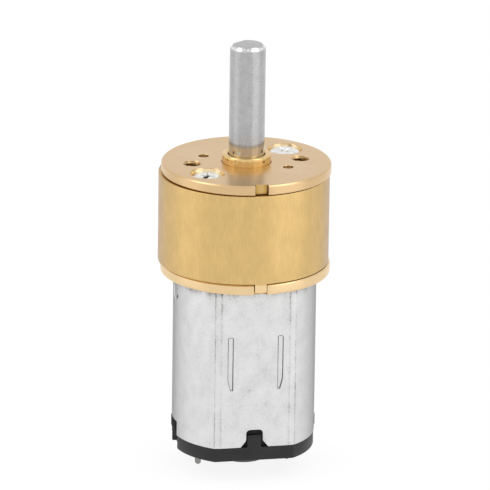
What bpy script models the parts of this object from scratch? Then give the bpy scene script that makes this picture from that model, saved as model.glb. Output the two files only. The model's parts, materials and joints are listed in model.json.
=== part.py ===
"""Miniature gearmotor: a round all-brass spur gearbox on a flat-sided brushed DC motor.

Z runs along the output shaft, which points up. The origin is on the shaft's axis, in the
gearbox's front mounting plane. X runs through the two threaded mounting holes, and the
motor's flats face -Y and +Y. Six spur stages take the drive from the motor pinion to the
output gear: loose cluster gears turn on two axle pins and on the output shaft's thin tail.
"""

import math

import bmesh
import bpy
from mathutils import Matrix, Vector

MM = 0.001
RUNNING_GAP = 0.04 * MM  # radial clearance between a journal and its bore
SEAT_GAP = 0.03 * MM  # space left between pieces that are pressed or clamped together
CUT = 1.0 * MM  # how far a cutter runs past the wall that it goes through
OVERLAP = 0.1 * MM  # how far two shapes that are joined reach into each other
FINE_CHAMFER = 0.1 * MM  # on the edges of small turned pieces
SMALLEST_BEND = 0.1 * MM  # least corner radius of a flat-sided outline that is moved inwards
SHARP_ANGLE = math.radians(28)  # edges that turn by more than this stay crisp

# Output shaft
SHAFT_DIAMETER = 3.0 * MM
SHAFT_TIP_Z = 10.15 * MM
SHAFT_TIP_CHAMFER = 0.3 * MM
D_FLAT_DEPTH = 0.5 * MM
D_FLAT_END_Z = 1.4 * MM
D_FLAT_ANGLE = math.radians(125)
SEAT_DIAMETER = 2.2 * MM
SEAT_FLAT_DEPTH = 0.3 * MM
TAIL_DIAMETER = 1.0 * MM

# Gearbox plates and sleeve
PLATE_DIAMETER = 14.2 * MM
FRONT_PLATE_THICKNESS = 0.85 * MM
REAR_PLATE_THICKNESS = 0.9 * MM
PLATE_EDGE_CHAMFER = 0.12 * MM
GEARBOX_LENGTH = 9.5 * MM
SLEEVE_DIAMETER = 14.3 * MM
SLEEVE_WALL = 0.35 * MM
SLEEVE_OFFSET_X = -0.17 * MM  # only its tongue locates the sleeve, so it sits a little off centre
NOTCH_WIDTH = 1.15 * MM
NOTCH_DEPTH = 0.5 * MM
TONGUE_WIDTH = 0.93 * MM
TONGUE_LENGTH = 0.66 * MM
BOSS_DIAMETER = 4.1 * MM
BOSS_HEIGHT = 0.75 * MM
BUSH_INNER_END_Z = -1.3 * MM
THRUST_WASHER_THICKNESS = 0.14 * MM

# Holes in the front plate
MOUNT_HOLE_SPACING = 9.2 * MM
MOUNT_HOLE_DIAMETER = 1.25 * MM  # core of the M1.6 thread
MOUNT_HOLE_CHAMFER = 0.17 * MM
COUNTERBORE_DIAMETER = 2.9 * MM
COUNTERBORE_DEPTH = 0.6 * MM
SCREW_RADIUS = 4.78 * MM
SCREW_ANGLES = (math.radians(36.5), math.radians(216.5))
SCREW_DIAMETER = 1.6 * MM
SCREW_HEAD_DIAMETER = 2.5 * MM
SCREW_HEAD_HEIGHT = 0.32 * MM
CROSS_ARM_WIDTH = 0.28 * MM
CROSS_ARM_LENGTH = 1.3 * MM
CROSS_DEPTH = 0.2 * MM
SCREW_TURNS = (0.5, 1.1)  # where each gearbox screw's cross ends up when it is tight

# Gear train
MODULE = 0.2 * MM
WHEEL_TEETH = 26
PINION_TEETH = 12
PRESSURE_ANGLE = math.radians(20)
BACKLASH = 0.05 * MM
WHEEL_FLANK_POINTS = 1
PINION_FLANK_POINTS = 2
WHEEL_ADDENDUM = 0.85  # in modules: a little short, so that it clears the small pinion's roots
PINION_ADDENDUM = 1.0
DEDENDUM = 1.25
CENTRE_DISTANCE = MODULE * (WHEEL_TEETH + PINION_TEETH) / 2
AXLE_A_ANGLE = math.radians(-35)
AXLE_B_ANGLE = math.radians(149)
AXLE_DIAMETER = 0.8 * MM
AXLE_TOP_Z = -0.22 * MM
STAGES = 6
STAGE_PITCH = 1.18 * MM
GEAR_FACE = 1.0 * MM
FIRST_STAGE_Z = -8.45 * MM
HUB_DIAMETER = 1.5 * MM
HUB_PLAY = 0.08 * MM

# Motor can
CAN_DIAMETER = 12.0 * MM
CAN_FLATS = 10.0 * MM
CAN_BEND = 1.0 * MM
CAN_WALL = 0.5 * MM
CAN_SHOULDER = 0.5 * MM
CAN_END_Z = -23.58 * MM
CAN_BOSS_DIAMETER = 4.0 * MM
CAN_BOSS_TOP_Z = -8.85 * MM
CAN_BOSS_CHAMFER = 0.12 * MM
CAN_SHAFT_HOLE_DIAMETER = 1.6 * MM
CAN_NOTCH_HEIGHT = 1.55 * MM
CAN_NOTCH_WIDTH = 1.43 * MM
CAN_NOTCH_MOUTH = 2.3 * MM
CAN_NOTCH_CORNER = 0.3 * MM
CAN_NOTCH_FLARE = 0.5 * MM
CAN_SIDE_NOTCH_HEIGHT = 1.25 * MM
CAN_SIDE_NOTCH_WIDTH = 2.24 * MM
GROOVE_X = 2.12 * MM
GROOVE_WIDTH = 0.48 * MM
GROOVE_DEPTH = 0.12 * MM
GROOVE_TOP_Z = -13.8 * MM
GROOVE_END_Z = -18.5 * MM
GROOVE_POINT = 0.7 * MM
GROOVE_TIP_WIDTH = 0.2 * MM
DIMPLE_DIAMETER = 1.6 * MM
DIMPLE_DEPTH = 0.1 * MM
DIMPLE_Y = -0.55 * MM
DIMPLE_Z = -10.95 * MM
MOTOR_SCREW_SPACING = 7.0 * MM
MOTOR_SCREW_HEAD = 2.4 * MM
MOTOR_SCREW_CONE = 0.45 * MM
MOTOR_SCREW_END_Z = -10.6 * MM
MOTOR_SCREW_TURNS = (0.3, 0.6)

# End cap
CAP_RIM_DIAMETER = 11.9 * MM
CAP_RIM_FLATS = 9.84 * MM
CAP_BEND = 0.3 * MM
CAP_EDGE_CHAMFER = 0.15 * MM
CAP_RIM_HEIGHT = 1.19 * MM
CAP_PLUG_TOP_Z = -22.3 * MM
CAP_PLUG_WALL = 0.75 * MM
CAP_FLOOR_Z = -23.78 * MM
CAP_TAB_WIDTH = 1.16 * MM
CAP_TAB_HEIGHT = 1.03 * MM
CAP_BLOCK_WIDTH = 2.1 * MM
CAP_RELIEF_X = 5.5 * MM
CAP_RELIEF_HEIGHT = 0.78 * MM
REAR_BOSS_DIAMETER = 4.4 * MM
REAR_BOSS_HEIGHT = 1.2 * MM
REAR_BOSS_CHAMFER = 0.25 * MM
CAP_SHAFT_HOLE_DIAMETER = 1.5 * MM

# Rotor, magnets, bearings and brushes
ROTOR_SHAFT_DIAMETER = 1.0 * MM
ROTOR_SHAFT_END_Z = -25.2 * MM
BEARING_DIAMETER = 2.9 * MM
FRONT_BEARING_TOP_Z = -9.35 * MM
FRONT_BEARING_END_Z = -10.9 * MM
REAR_BEARING_TOP_Z = -23.5 * MM
REAR_BEARING_END_Z = -25.1 * MM
CORE_DIAMETER = 7.6 * MM
CORE_TOP_Z = -13.5 * MM
CORE_END_Z = -19.0 * MM
CORE_HUB_DIAMETER = 2.4 * MM
POLE_COUNT = 3
POLE_NECK_WIDTH = 1.1 * MM
POLE_SHOE_THICKNESS = 0.6 * MM
POLE_SHOE_HALF_ANGLE = math.radians(50)
INSULATOR_THICKNESS = 0.25 * MM
COIL_INNER_X = 1.5 * MM
COIL_OUTER_X = 2.6 * MM
COIL_HALF_WIDTH = 1.5 * MM
COIL_END_HEIGHT = 0.85 * MM
COIL_CORNER = 0.7 * MM
COIL_HOLE_CORNER = 0.02 * MM
MAGNET_OUTER_RADIUS = 5.45 * MM
MAGNET_INNER_RADIUS = 4.1 * MM
MAGNET_HALF_ANGLE = math.radians(50)
MAGNET_TOP_Z = -12.0 * MM
MAGNET_END_Z = -20.5 * MM
COMMUTATOR_TOP_Z = -20.25 * MM
COMMUTATOR_END_Z = -22.5 * MM
COMMUTATOR_FLANGE = 0.4 * MM
COMMUTATOR_FLANGE_DIAMETER = 3.4 * MM
COMMUTATOR_HUB_DIAMETER = 1.9 * MM
COMMUTATOR_DIAMETER = 2.5 * MM
SEGMENT_HALF_ANGLE = math.radians(54)
ROTOR_WASHER_DIAMETER = 2.0 * MM
ROTOR_WASHER_THICKNESS = 0.3 * MM
TERMINAL_X = 3.83 * MM
TERMINAL_WIDTH = 0.5 * MM
TERMINAL_THICKNESS = 0.3 * MM
TERMINAL_TOP_Z = -21.4 * MM
TERMINAL_END_Z = -26.6 * MM
BRUSH_SHEET = 0.12 * MM
BRUSH_TOP_Z = -21.1 * MM
BRUSH_END_Z = -22.1 * MM
BRUSH_ARM_END_X = -0.7 * MM
BRUSH_FOOT_WIDTH = 0.96 * MM

REAR_PLATE_TOP_Z = -(GEARBOX_LENGTH - REAR_PLATE_THICKNESS)
CAN_TOP_Z = -(GEARBOX_LENGTH + SEAT_GAP)

# Facets round a full turn, or along an arc
SIDES = 60
MEDIUM_SIDES = 36
SMALL_SIDES = 20
SHOULDER_STEPS = 4
MAGNET_STEPS = 16
SEGMENT_STEPS = 8


def remove_all_objects():
    for thing in list(bpy.data.objects):
        bpy.data.objects.remove(thing, do_unlink=True)


def make_material(name, colour, roughness, metallic):
    material = bpy.data.materials.new(name)
    material.use_nodes = True
    shader = material.node_tree.nodes["Principled BSDF"]
    shader.inputs["Base Color"].default_value = (*colour, 1)
    shader.inputs["Roughness"].default_value = roughness
    shader.inputs["Metallic"].default_value = metallic
    return material


def make_materials():
    return {
        "plate_brass": make_material("plate_brass", (0.82, 0.62, 0.40), 0.25, 1),
        "sleeve_brass": make_material("sleeve_brass", (0.72, 0.50, 0.20), 0.35, 1),
        "bush_brass": make_material("bush_brass", (0.80, 0.52, 0.16), 0.2, 1),
        "gear_brass": make_material("gear_brass", (0.75, 0.52, 0.22), 0.3, 1),
        "shaft_steel": make_material("shaft_steel", (0.55, 0.55, 0.56), 0.35, 1),
        "screw_steel": make_material("screw_steel", (0.80, 0.80, 0.80), 0.2, 1),
        "can_steel": make_material("can_steel", (0.70, 0.70, 0.70), 0.45, 1),
        "core_steel": make_material("core_steel", (0.40, 0.40, 0.42), 0.5, 1),
        "black_plastic": make_material("black_plastic", (0.035, 0.035, 0.037), 0.5, 0),
        "white_nylon": make_material("white_nylon", (0.80, 0.78, 0.72), 0.5, 0),
        "magnet": make_material("magnet", (0.10, 0.10, 0.11), 0.6, 0),
        "copper": make_material("copper", (0.75, 0.36, 0.18), 0.3, 1),
        "bronze": make_material("bronze", (0.55, 0.38, 0.22), 0.45, 1),
        "terminal_metal": make_material("terminal_metal", (0.60, 0.60, 0.60), 0.35, 1),
    }


def polar(radius, angle):
    return Vector((radius * math.cos(angle), radius * math.sin(angle), 0))


def finish_object(name, mesh_data, material, place=(0, 0, 0), turn=0.0):
    bmesh.ops.recalc_face_normals(mesh_data, faces=mesh_data.faces)
    mesh = bpy.data.meshes.new(name)
    mesh_data.to_mesh(mesh)
    mesh_data.free()
    mesh.shade_smooth()
    mesh.set_sharp_from_angle(angle=SHARP_ANGLE)
    thing = bpy.data.objects.new(name, mesh)
    thing.location = place
    thing.rotation_euler.z = turn
    bpy.context.scene.collection.objects.link(thing)
    if material:
        mesh.materials.append(material)
    return thing


def helper(thing):
    """Marks a shape that only cuts or extends another one."""
    thing.hide_render = True
    thing.display_type = "WIRE"
    return thing


def add_boolean(thing, other, operation):
    modifier = thing.modifiers.new(f"{operation.lower()}_{len(thing.modifiers)}", "BOOLEAN")
    modifier.operation = operation
    modifier.solver = "EXACT"
    modifier.object = helper(other)


def cut(thing, *cutters):
    for cutter in cutters:
        add_boolean(thing, cutter, "DIFFERENCE")


def join(thing, *others):
    for other in others:
        add_boolean(thing, other, "UNION")


def turned(name, profile, material=None, sides=SIDES, place=(0, 0, 0), turn=0.0):
    """A turned solid from (radius, height) points, which start and end on the axis or close
    into a ring."""
    data = bmesh.new()
    rings = []
    for radius, height in profile:
        if radius == 0:
            rings.append([data.verts.new((0, 0, height))])
            continue
        points = (polar(radius, 2 * math.pi * k / sides) for k in range(sides))
        rings.append([data.verts.new((p.x, p.y, height)) for p in points])
    pairs = list(zip(rings, rings[1:]))
    if len(rings[0]) > 1:
        pairs.append((rings[-1], rings[0]))
    for upper, lower in pairs:
        for k in range(sides):
            corners = []
            for ring, index in ((upper, k), (lower, k), (lower, k + 1), (upper, k + 1)):
                corner = ring[index % len(ring)]
                if corner not in corners:
                    corners.append(corner)
            if len(corners) > 2:
                data.faces.new(corners)
    return finish_object(name, data, material, place, turn)


def rod(name, diameter, top, bottom, material=None, sides=SMALL_SIDES, place=(0, 0, 0)):
    radius = diameter / 2
    profile = [(0, top), (radius, top), (radius, bottom), (0, bottom)]
    return turned(name, profile, material, sides, place)


def tube(name, outer, inner, top, bottom, material=None, sides=SMALL_SIDES, place=(0, 0, 0)):
    profile = [(outer / 2, top), (outer / 2, bottom), (inner / 2, bottom), (inner / 2, top)]
    return turned(name, profile, material, sides, place)


def loft(name, rings, material=None, place=(0, 0, 0), turn=0.0):
    """A solid skinned over rings of points, each ring with the same number of points, with a
    flat cap on the first and on the last."""
    data = bmesh.new()
    loops = [[data.verts.new(point) for point in ring] for ring in rings]
    count = len(loops[0])
    for upper, lower in zip(loops, loops[1:]):
        for k in range(count):
            data.faces.new((upper[k], lower[k], lower[(k + 1) % count], upper[(k + 1) % count]))
    data.faces.new(loops[0])
    data.faces.new(loops[-1])
    return finish_object(name, data, material, place, turn)


def prism(name, outline, top, bottom, material=None, place=(0, 0, 0), turn=0.0):
    """An (x, y) outline drawn out between two heights."""
    rings = [[(x, y, height) for x, y in outline] for height in (top, bottom)]
    return loft(name, rings, material, place, turn)


def block(name, low, high, material=None):
    outline = [(low[0], low[1]), (high[0], low[1]), (high[0], high[1]), (low[0], high[1])]
    return prism(name, outline, high[2], low[2], material)


def flat_sided_outline(diameter, flats, bend, inset=0.0, arc_steps=7, bend_steps=3):
    """A circle with two flats facing -Y and +Y and rounded corners between them, as (x, y)
    points, moved inwards by inset."""
    radius = diameter / 2 - inset
    flat = flats / 2 - inset
    bend = max(bend - inset, SMALLEST_BEND)
    corner_y = flat - bend
    corner_x = math.sqrt((radius - bend) ** 2 - corner_y**2)
    reach = math.atan2(corner_y, corner_x)
    quarter = [polar(radius, reach * k / arc_steps) for k in range(arc_steps + 1)]
    centre = Vector((corner_x, corner_y, 0))
    for k in range(1, bend_steps + 1):
        angle = reach + (math.pi / 2 - reach) * k / bend_steps
        quarter.append(centre + polar(bend, angle))
    upper_right = [(p.x, p.y) for p in quarter]
    upper_left = [(-x, y) for x, y in reversed(upper_right)][:-1]
    lower_left = [(-x, -y) for x, y in upper_right]
    lower_right = [(x, -y) for x, y in reversed(upper_right)][:-1]
    return upper_right + upper_left + lower_left + lower_right


def at_height(outline, height):
    return [(x, y, height) for x, y in outline]


# Gear train


def involute(angle):
    return math.tan(angle) - angle


def gear_outline(teeth, addendum, flank_points):
    """The (x, y) outline of a spur gear with its first tooth on +X."""
    pitch_radius = MODULE * teeth / 2
    base_radius = pitch_radius * math.cos(PRESSURE_ANGLE)
    tip_radius = pitch_radius + addendum * MODULE
    root_radius = pitch_radius - DEDENDUM * MODULE
    pitch_half_angle = (math.pi * MODULE / 2 - BACKLASH) / 2 / pitch_radius

    def half_angle(radius):
        slope = math.acos(min(1, base_radius / radius))
        return pitch_half_angle + involute(PRESSURE_ANGLE) - involute(slope)

    flank_start = max(base_radius, root_radius)
    flank = [(root_radius, half_angle(flank_start))]
    for k in range(flank_points):
        radius = flank_start + (tip_radius - flank_start) * (k + 1) / flank_points
        flank.append((radius, half_angle(radius)))
    outline = []
    for tooth in range(teeth):
        middle = 2 * math.pi * tooth / teeth
        for radius, half in flank:
            outline.append(polar(radius, middle - half).xy)
        for radius, half in reversed(flank):
            outline.append(polar(radius, middle + half).xy)
    return [(point.x, point.y) for point in outline]


def wheel_outline():
    return gear_outline(WHEEL_TEETH, WHEEL_ADDENDUM, WHEEL_FLANK_POINTS)


def pinion_outline():
    return gear_outline(PINION_TEETH, PINION_ADDENDUM, PINION_FLANK_POINTS)


def stage_bottom(stage):
    return FIRST_STAGE_Z + (stage - 1) * STAGE_PITCH


def stage_top(stage):
    return stage_bottom(stage) + GEAR_FACE


def meshing_turn(driver_turn, driver_teeth, driver_place, driven_teeth, driven_place):
    """How far a gear is turned so that one of its gaps meets the driver's tooth."""
    line = driven_place - driver_place
    direction = math.atan2(line.y, line.x)
    phase = (direction - driver_turn) * driver_teeth / (2 * math.pi)
    return direction + math.pi - (0.5 - phase) * 2 * math.pi / driven_teeth


def cluster_gear(name, stage, bore, place, turn, hub_bottom, hub_top, material):
    """A wheel in one stage and a pinion in the next, cut from one piece, with hubs that keep
    its neighbours apart."""
    gear = prism(
        name, wheel_outline(), stage_top(stage), stage_bottom(stage), material, place, turn
    )
    pinion = prism(
        f"{name}_pinion",
        pinion_outline(),
        stage_top(stage + 1),
        stage_top(stage) - OVERLAP,
        None,
        place,
        turn,
    )
    lower_hub = rod(
        f"{name}_lower_hub", HUB_DIAMETER, stage_bottom(stage) + OVERLAP, hub_bottom, place=place
    )
    upper_hub = rod(
        f"{name}_upper_hub", HUB_DIAMETER, hub_top, stage_top(stage + 1) - OVERLAP, place=place
    )
    hole = rod(f"{name}_bore", bore, hub_top + CUT, hub_bottom - CUT, place=place)
    join(gear, pinion, lower_hub, upper_hub)
    cut(gear, hole)
    return gear


def gear_places():
    centre = Vector((0, 0, 0))
    axle_a = polar(CENTRE_DISTANCE, AXLE_A_ANGLE)
    axle_b = polar(CENTRE_DISTANCE, AXLE_B_ANGLE)
    return [centre, axle_a, centre, axle_b, centre, axle_a, centre]


def gear_turns():
    """The rest angle of the motor pinion, the five cluster gears and the output gear."""
    places = gear_places()
    turns = [0.0]
    for driver, driven in zip(places, places[1:]):
        turns.append(meshing_turn(turns[-1], PINION_TEETH, driver, WHEEL_TEETH, driven))
    return turns


def make_gear_train(materials):
    brass = materials["gear_brass"]
    places = gear_places()
    turns = gear_turns()
    floor = REAR_PLATE_TOP_Z + HUB_PLAY
    ceiling = -FRONT_PLATE_THICKNESS - HUB_PLAY
    axle_bore = AXLE_DIAMETER + 2 * RUNNING_GAP
    tail_bore = TAIL_DIAMETER + 2 * RUNNING_GAP
    play = HUB_PLAY / 2
    first_on_a_top = stage_top(2) + play
    hubs = [
        ("cluster_gear_1", 1, axle_bore, floor, first_on_a_top),
        ("cluster_gear_2", 2, tail_bore, stage_bottom(2) - play, stage_top(3) + play),
        ("cluster_gear_3", 3, axle_bore, floor, ceiling),
        ("cluster_gear_4", 4, tail_bore, stage_bottom(4) - play, stage_top(5) + play),
        ("cluster_gear_5", 5, axle_bore, first_on_a_top + HUB_PLAY, ceiling),
    ]
    for name, stage, bore, hub_bottom, hub_top in hubs:
        cluster_gear(
            name, stage, bore, places[stage], turns[stage], hub_bottom, hub_top, brass
        )
    make_output_gear(brass, turns[STAGES])
    make_motor_pinion(brass)
    for letter, place in (("a", places[1]), ("b", places[3])):
        rod(
            f"axle_pin_{letter}",
            AXLE_DIAMETER,
            AXLE_TOP_Z,
            -GEARBOX_LENGTH,
            materials["shaft_steel"],
            SMALL_SIDES,
            place,
        )


def seat_flat_cutter(name, clearance, turn):
    """Cuts away what lies beyond the flat that keys the output gear to its shaft."""
    flat = SEAT_DIAMETER / 2 - SEAT_FLAT_DEPTH + clearance
    cutter = block(
        name,
        (flat, -SEAT_DIAMETER, stage_bottom(STAGES) - CUT),
        (flat + SEAT_DIAMETER, SEAT_DIAMETER, stage_top(STAGES) + CUT),
    )
    cutter.rotation_euler.z = turn
    return cutter


def make_output_gear(brass, turn):
    gear = prism(
        "output_gear", wheel_outline(), stage_top(STAGES), stage_bottom(STAGES), brass, turn=turn
    )
    bore = rod(
        "output_gear_bore",
        SEAT_DIAMETER + 2 * SEAT_GAP,
        stage_top(STAGES) + CUT,
        stage_bottom(STAGES) - CUT,
    )
    cut(bore, seat_flat_cutter("output_gear_key", SEAT_GAP, turn))
    cut(gear, bore)


def make_motor_pinion(brass):
    pinion = prism(
        "motor_pinion", pinion_outline(), stage_top(1), stage_bottom(1) - OVERLAP, brass
    )
    bore_diameter = ROTOR_SHAFT_DIAMETER + 2 * SEAT_GAP
    cut(pinion, rod("motor_pinion_bore", bore_diameter, 0, -GEARBOX_LENGTH))


# Output shaft and bush


def make_output_shaft(materials):
    radius = SHAFT_DIAMETER / 2
    shoulder = stage_top(STAGES) + SEAT_GAP
    seat_end = stage_bottom(STAGES) + SEAT_GAP
    tail_end = stage_bottom(2) + SEAT_GAP
    profile = [
        (0, SHAFT_TIP_Z),
        (radius - SHAFT_TIP_CHAMFER, SHAFT_TIP_Z),
        (radius, SHAFT_TIP_Z - SHAFT_TIP_CHAMFER),
        (radius, shoulder),
        (SEAT_DIAMETER / 2, shoulder),
        (SEAT_DIAMETER / 2, seat_end),
        (TAIL_DIAMETER / 2, seat_end),
        (TAIL_DIAMETER / 2, tail_end),
        (0, tail_end),
    ]
    shaft = turned("output_shaft", profile, materials["shaft_steel"], sides=MEDIUM_SIDES)
    flat = radius - D_FLAT_DEPTH
    d_flat = block(
        "output_shaft_flat",
        (flat, -SHAFT_DIAMETER, D_FLAT_END_Z),
        (flat + SHAFT_DIAMETER, SHAFT_DIAMETER, SHAFT_TIP_Z + CUT),
    )
    d_flat.rotation_euler.z = D_FLAT_ANGLE
    key_flat = seat_flat_cutter("output_shaft_key", 0, gear_turns()[STAGES])
    below_shoulder = block(
        "output_shaft_key_limit",
        (-SHAFT_DIAMETER, -SHAFT_DIAMETER, shoulder),
        (2 * SHAFT_DIAMETER, SHAFT_DIAMETER, shoulder + 2 * CUT),
    )
    below_shoulder.rotation_euler.z = key_flat.rotation_euler.z
    cut(key_flat, below_shoulder)
    cut(shaft, d_flat, key_flat)


def make_output_bush(materials):
    outer = BOSS_DIAMETER / 2
    bore = SHAFT_DIAMETER / 2 + RUNNING_GAP
    chamfer = FINE_CHAMFER
    profile = [
        (bore + chamfer, BOSS_HEIGHT),
        (outer - chamfer, BOSS_HEIGHT),
        (outer, BOSS_HEIGHT - chamfer),
        (outer, BUSH_INNER_END_Z),
        (bore, BUSH_INNER_END_Z),
        (bore, BOSS_HEIGHT - chamfer),
    ]
    turned("output_bush", profile, materials["bush_brass"], sides=MEDIUM_SIDES)
    tube(
        "output_thrust_washer",
        BOSS_DIAMETER,
        SHAFT_DIAMETER + 2 * RUNNING_GAP,
        BUSH_INNER_END_Z - SEAT_GAP,
        BUSH_INNER_END_Z - SEAT_GAP - THRUST_WASHER_THICKNESS,
        materials["screw_steel"],
        MEDIUM_SIDES,
    )


# Gearbox case


def plate_disc(name, top, bottom, material):
    radius = PLATE_DIAMETER / 2
    chamfer = PLATE_EDGE_CHAMFER
    profile = [
        (0, top),
        (radius - chamfer, top),
        (radius, top - chamfer),
        (radius, bottom + chamfer),
        (radius - chamfer, bottom),
        (0, bottom),
    ]
    plate = turned(name, profile, material)
    notch_floor = -(radius - NOTCH_DEPTH)
    notch = block(
        f"{name}_notch",
        (-NOTCH_WIDTH / 2, notch_floor - CUT, bottom - CUT),
        (NOTCH_WIDTH / 2, notch_floor, top + CUT),
    )
    cut(plate, notch)
    for letter, place in (("a", gear_places()[1]), ("b", gear_places()[3])):
        hole_diameter = AXLE_DIAMETER + 2 * SEAT_GAP
        hole = rod(f"{name}_axle_{letter}", hole_diameter, top + CUT, bottom - CUT, place=place)
        cut(plate, hole)
    return plate


def screw_places():
    return [polar(SCREW_RADIUS, angle) for angle in SCREW_ANGLES]


def make_front_plate(materials):
    plate = plate_disc("front_plate", 0, -FRONT_PLATE_THICKNESS, materials["plate_brass"])
    low = -FRONT_PLATE_THICKNESS - CUT
    bush_hole = BOSS_DIAMETER + 2 * SEAT_GAP
    cut(plate, rod("front_plate_centre", bush_hole, CUT, low, sides=MEDIUM_SIDES))
    radius = MOUNT_HOLE_DIAMETER / 2
    wide = radius + MOUNT_HOLE_CHAMFER + CUT
    threaded_hole = [
        (0, CUT),
        (wide, CUT),
        (radius, -MOUNT_HOLE_CHAMFER),
        (radius, low),
        (0, low),
    ]
    for side in (-1, 1):
        place = (side * MOUNT_HOLE_SPACING / 2, 0, 0)
        cut(plate, turned("front_plate_mount", threaded_hole, None, SMALL_SIDES, place))
    shank = SCREW_DIAMETER / 2 + SEAT_GAP
    counterbore = [
        (0, CUT),
        (COUNTERBORE_DIAMETER / 2, CUT),
        (COUNTERBORE_DIAMETER / 2, -COUNTERBORE_DEPTH),
        (shank, -COUNTERBORE_DEPTH),
        (shank, low),
        (0, low),
    ]
    for place in screw_places():
        cut(plate, turned("front_plate_screw", counterbore, None, MEDIUM_SIDES, place))


def make_rear_plate(materials):
    bottom = -GEARBOX_LENGTH
    plate = plate_disc("rear_plate", REAR_PLATE_TOP_Z, bottom, materials["plate_brass"])
    high, low = REAR_PLATE_TOP_Z + CUT, bottom - CUT
    cut(plate, rod("rear_plate_centre", CAN_BOSS_DIAMETER + 2 * SEAT_GAP, high, low, sides=MEDIUM_SIDES))
    for place in screw_places():
        cut(plate, rod("rear_plate_thread", SCREW_DIAMETER + 2 * SEAT_GAP, high, low, place=place))
    shank = SCREW_DIAMETER / 2 + SEAT_GAP
    head = MOTOR_SCREW_HEAD / 2 + SEAT_GAP
    countersink = [
        (0, high),
        (head, high),
        (head, REAR_PLATE_TOP_Z - SEAT_GAP),
        (shank, REAR_PLATE_TOP_Z - SEAT_GAP - MOTOR_SCREW_CONE),
        (shank, low),
        (0, low),
    ]
    for side in (-1, 1):
        place = (side * MOTOR_SCREW_SPACING / 2, 0, 0)
        cut(plate, turned("rear_plate_motor_screw", countersink, None, SMALL_SIDES, place))


def make_sleeve(materials):
    top = -FRONT_PLATE_THICKNESS - SEAT_GAP
    bottom = REAR_PLATE_TOP_Z + SEAT_GAP
    inner = SLEEVE_DIAMETER - 2 * SLEEVE_WALL
    place = (SLEEVE_OFFSET_X, 0, 0)
    sleeve = tube(
        "gearbox_sleeve",
        SLEEVE_DIAMETER,
        inner,
        top,
        bottom,
        materials["sleeve_brass"],
        SIDES,
        place,
    )
    tongue_end = bottom - TONGUE_LENGTH
    tongue = tube("gearbox_sleeve_tongue", SLEEVE_DIAMETER, inner, bottom + OVERLAP, tongue_end)
    tongue.location.x = SLEEVE_OFFSET_X
    window = block(
        "gearbox_sleeve_window",
        (-TONGUE_WIDTH / 2, -SLEEVE_DIAMETER, tongue_end - CUT),
        (TONGUE_WIDTH / 2, 0, bottom + CUT),
    )
    add_boolean(tongue, window, "INTERSECT")
    join(sleeve, tongue)


def cross_recess(name, top, place, turn):
    """The cutter for a cross recess in a screw's head."""
    arm, half = CROSS_ARM_WIDTH / 2, CROSS_ARM_LENGTH / 2
    outline = [(half, -arm), (half, arm), (arm, arm), (arm, half), (-arm, half), (-arm, arm)]
    outline += [(-x, -y) for x, y in outline]
    return prism(name, outline, top + CUT, top - CROSS_DEPTH, place=place, turn=turn)


def make_gearbox_screws(materials):
    head_bottom = -COUNTERBORE_DEPTH + SEAT_GAP
    head_top = head_bottom + SCREW_HEAD_HEIGHT
    head, shank = SCREW_HEAD_DIAMETER / 2, SCREW_DIAMETER / 2
    edge = FINE_CHAMFER
    profile = [
        (0, head_top),
        (head - edge, head_top),
        (head, head_top - edge),
        (head, head_bottom),
        (shank, head_bottom),
        (shank, -GEARBOX_LENGTH + SEAT_GAP),
        (0, -GEARBOX_LENGTH + SEAT_GAP),
    ]
    for number, (place, turn) in enumerate(zip(screw_places(), SCREW_TURNS), 1):
        name = f"gearbox_screw_{number}"
        screw = turned(name, profile, materials["screw_steel"], SMALL_SIDES, place)
        cut(screw, cross_recess(f"{name}_recess", head_top, place, turn))


def make_motor_screws(materials):
    top = REAR_PLATE_TOP_Z - SEAT_GAP
    head, shank = MOTOR_SCREW_HEAD / 2, SCREW_DIAMETER / 2
    profile = [
        (0, top),
        (head, top),
        (shank, top - MOTOR_SCREW_CONE),
        (shank, MOTOR_SCREW_END_Z),
        (0, MOTOR_SCREW_END_Z),
    ]
    for number, (side, turn) in enumerate(zip((-1, 1), MOTOR_SCREW_TURNS), 1):
        name = f"motor_screw_{number}"
        place = (side * MOTOR_SCREW_SPACING / 2, 0, 0)
        screw = turned(name, profile, materials["screw_steel"], SMALL_SIDES, place)
        cut(screw, cross_recess(f"{name}_recess", top, place, turn))


# Motor can


def can_outline(inset):
    return flat_sided_outline(CAN_DIAMETER, CAN_FLATS, CAN_BEND, inset)


def can_shell():
    rings = []
    for k in range(SHOULDER_STEPS + 1):
        angle = math.pi / 2 * k / SHOULDER_STEPS
        inset = CAN_SHOULDER * (1 - math.sin(angle))
        height = CAN_TOP_Z - CAN_SHOULDER * (1 - math.cos(angle))
        rings.append(at_height(can_outline(inset), height))
    rings.append(at_height(can_outline(0), CAN_END_Z))
    rings.append(at_height(can_outline(CAN_WALL), CAN_END_Z))
    rings.append(at_height(can_outline(CAN_WALL), CAN_TOP_Z - CAN_WALL))
    return rings


def can_end_notch():
    """The (x, z) outline of the notch that the end cap's tab fills."""
    top = CAN_END_Z + CAN_NOTCH_HEIGHT
    half, mouth = CAN_NOTCH_WIDTH / 2, CAN_NOTCH_MOUTH / 2
    corner, flare = CAN_NOTCH_CORNER, CAN_NOTCH_FLARE
    right = [
        (half - corner, top),
        (half, top - corner),
        (half, CAN_END_Z + flare),
        (mouth, CAN_END_Z),
        (mouth, CAN_END_Z - CUT),
    ]
    return right + [(-x, z) for x, z in reversed(right)]


def groove_outline(side):
    """The (x, z) outline of a pressed groove: square at the top, pointed at the bottom."""
    half, tip = GROOVE_WIDTH / 2, GROOVE_TIP_WIDTH / 2
    middle = side * GROOVE_X
    point_start = GROOVE_END_Z + GROOVE_POINT
    return [
        (middle - half, GROOVE_TOP_Z),
        (middle + half, GROOVE_TOP_Z),
        (middle + half, point_start),
        (middle + tip, GROOVE_END_Z),
        (middle - tip, GROOVE_END_Z),
        (middle - half, point_start),
    ]


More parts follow.
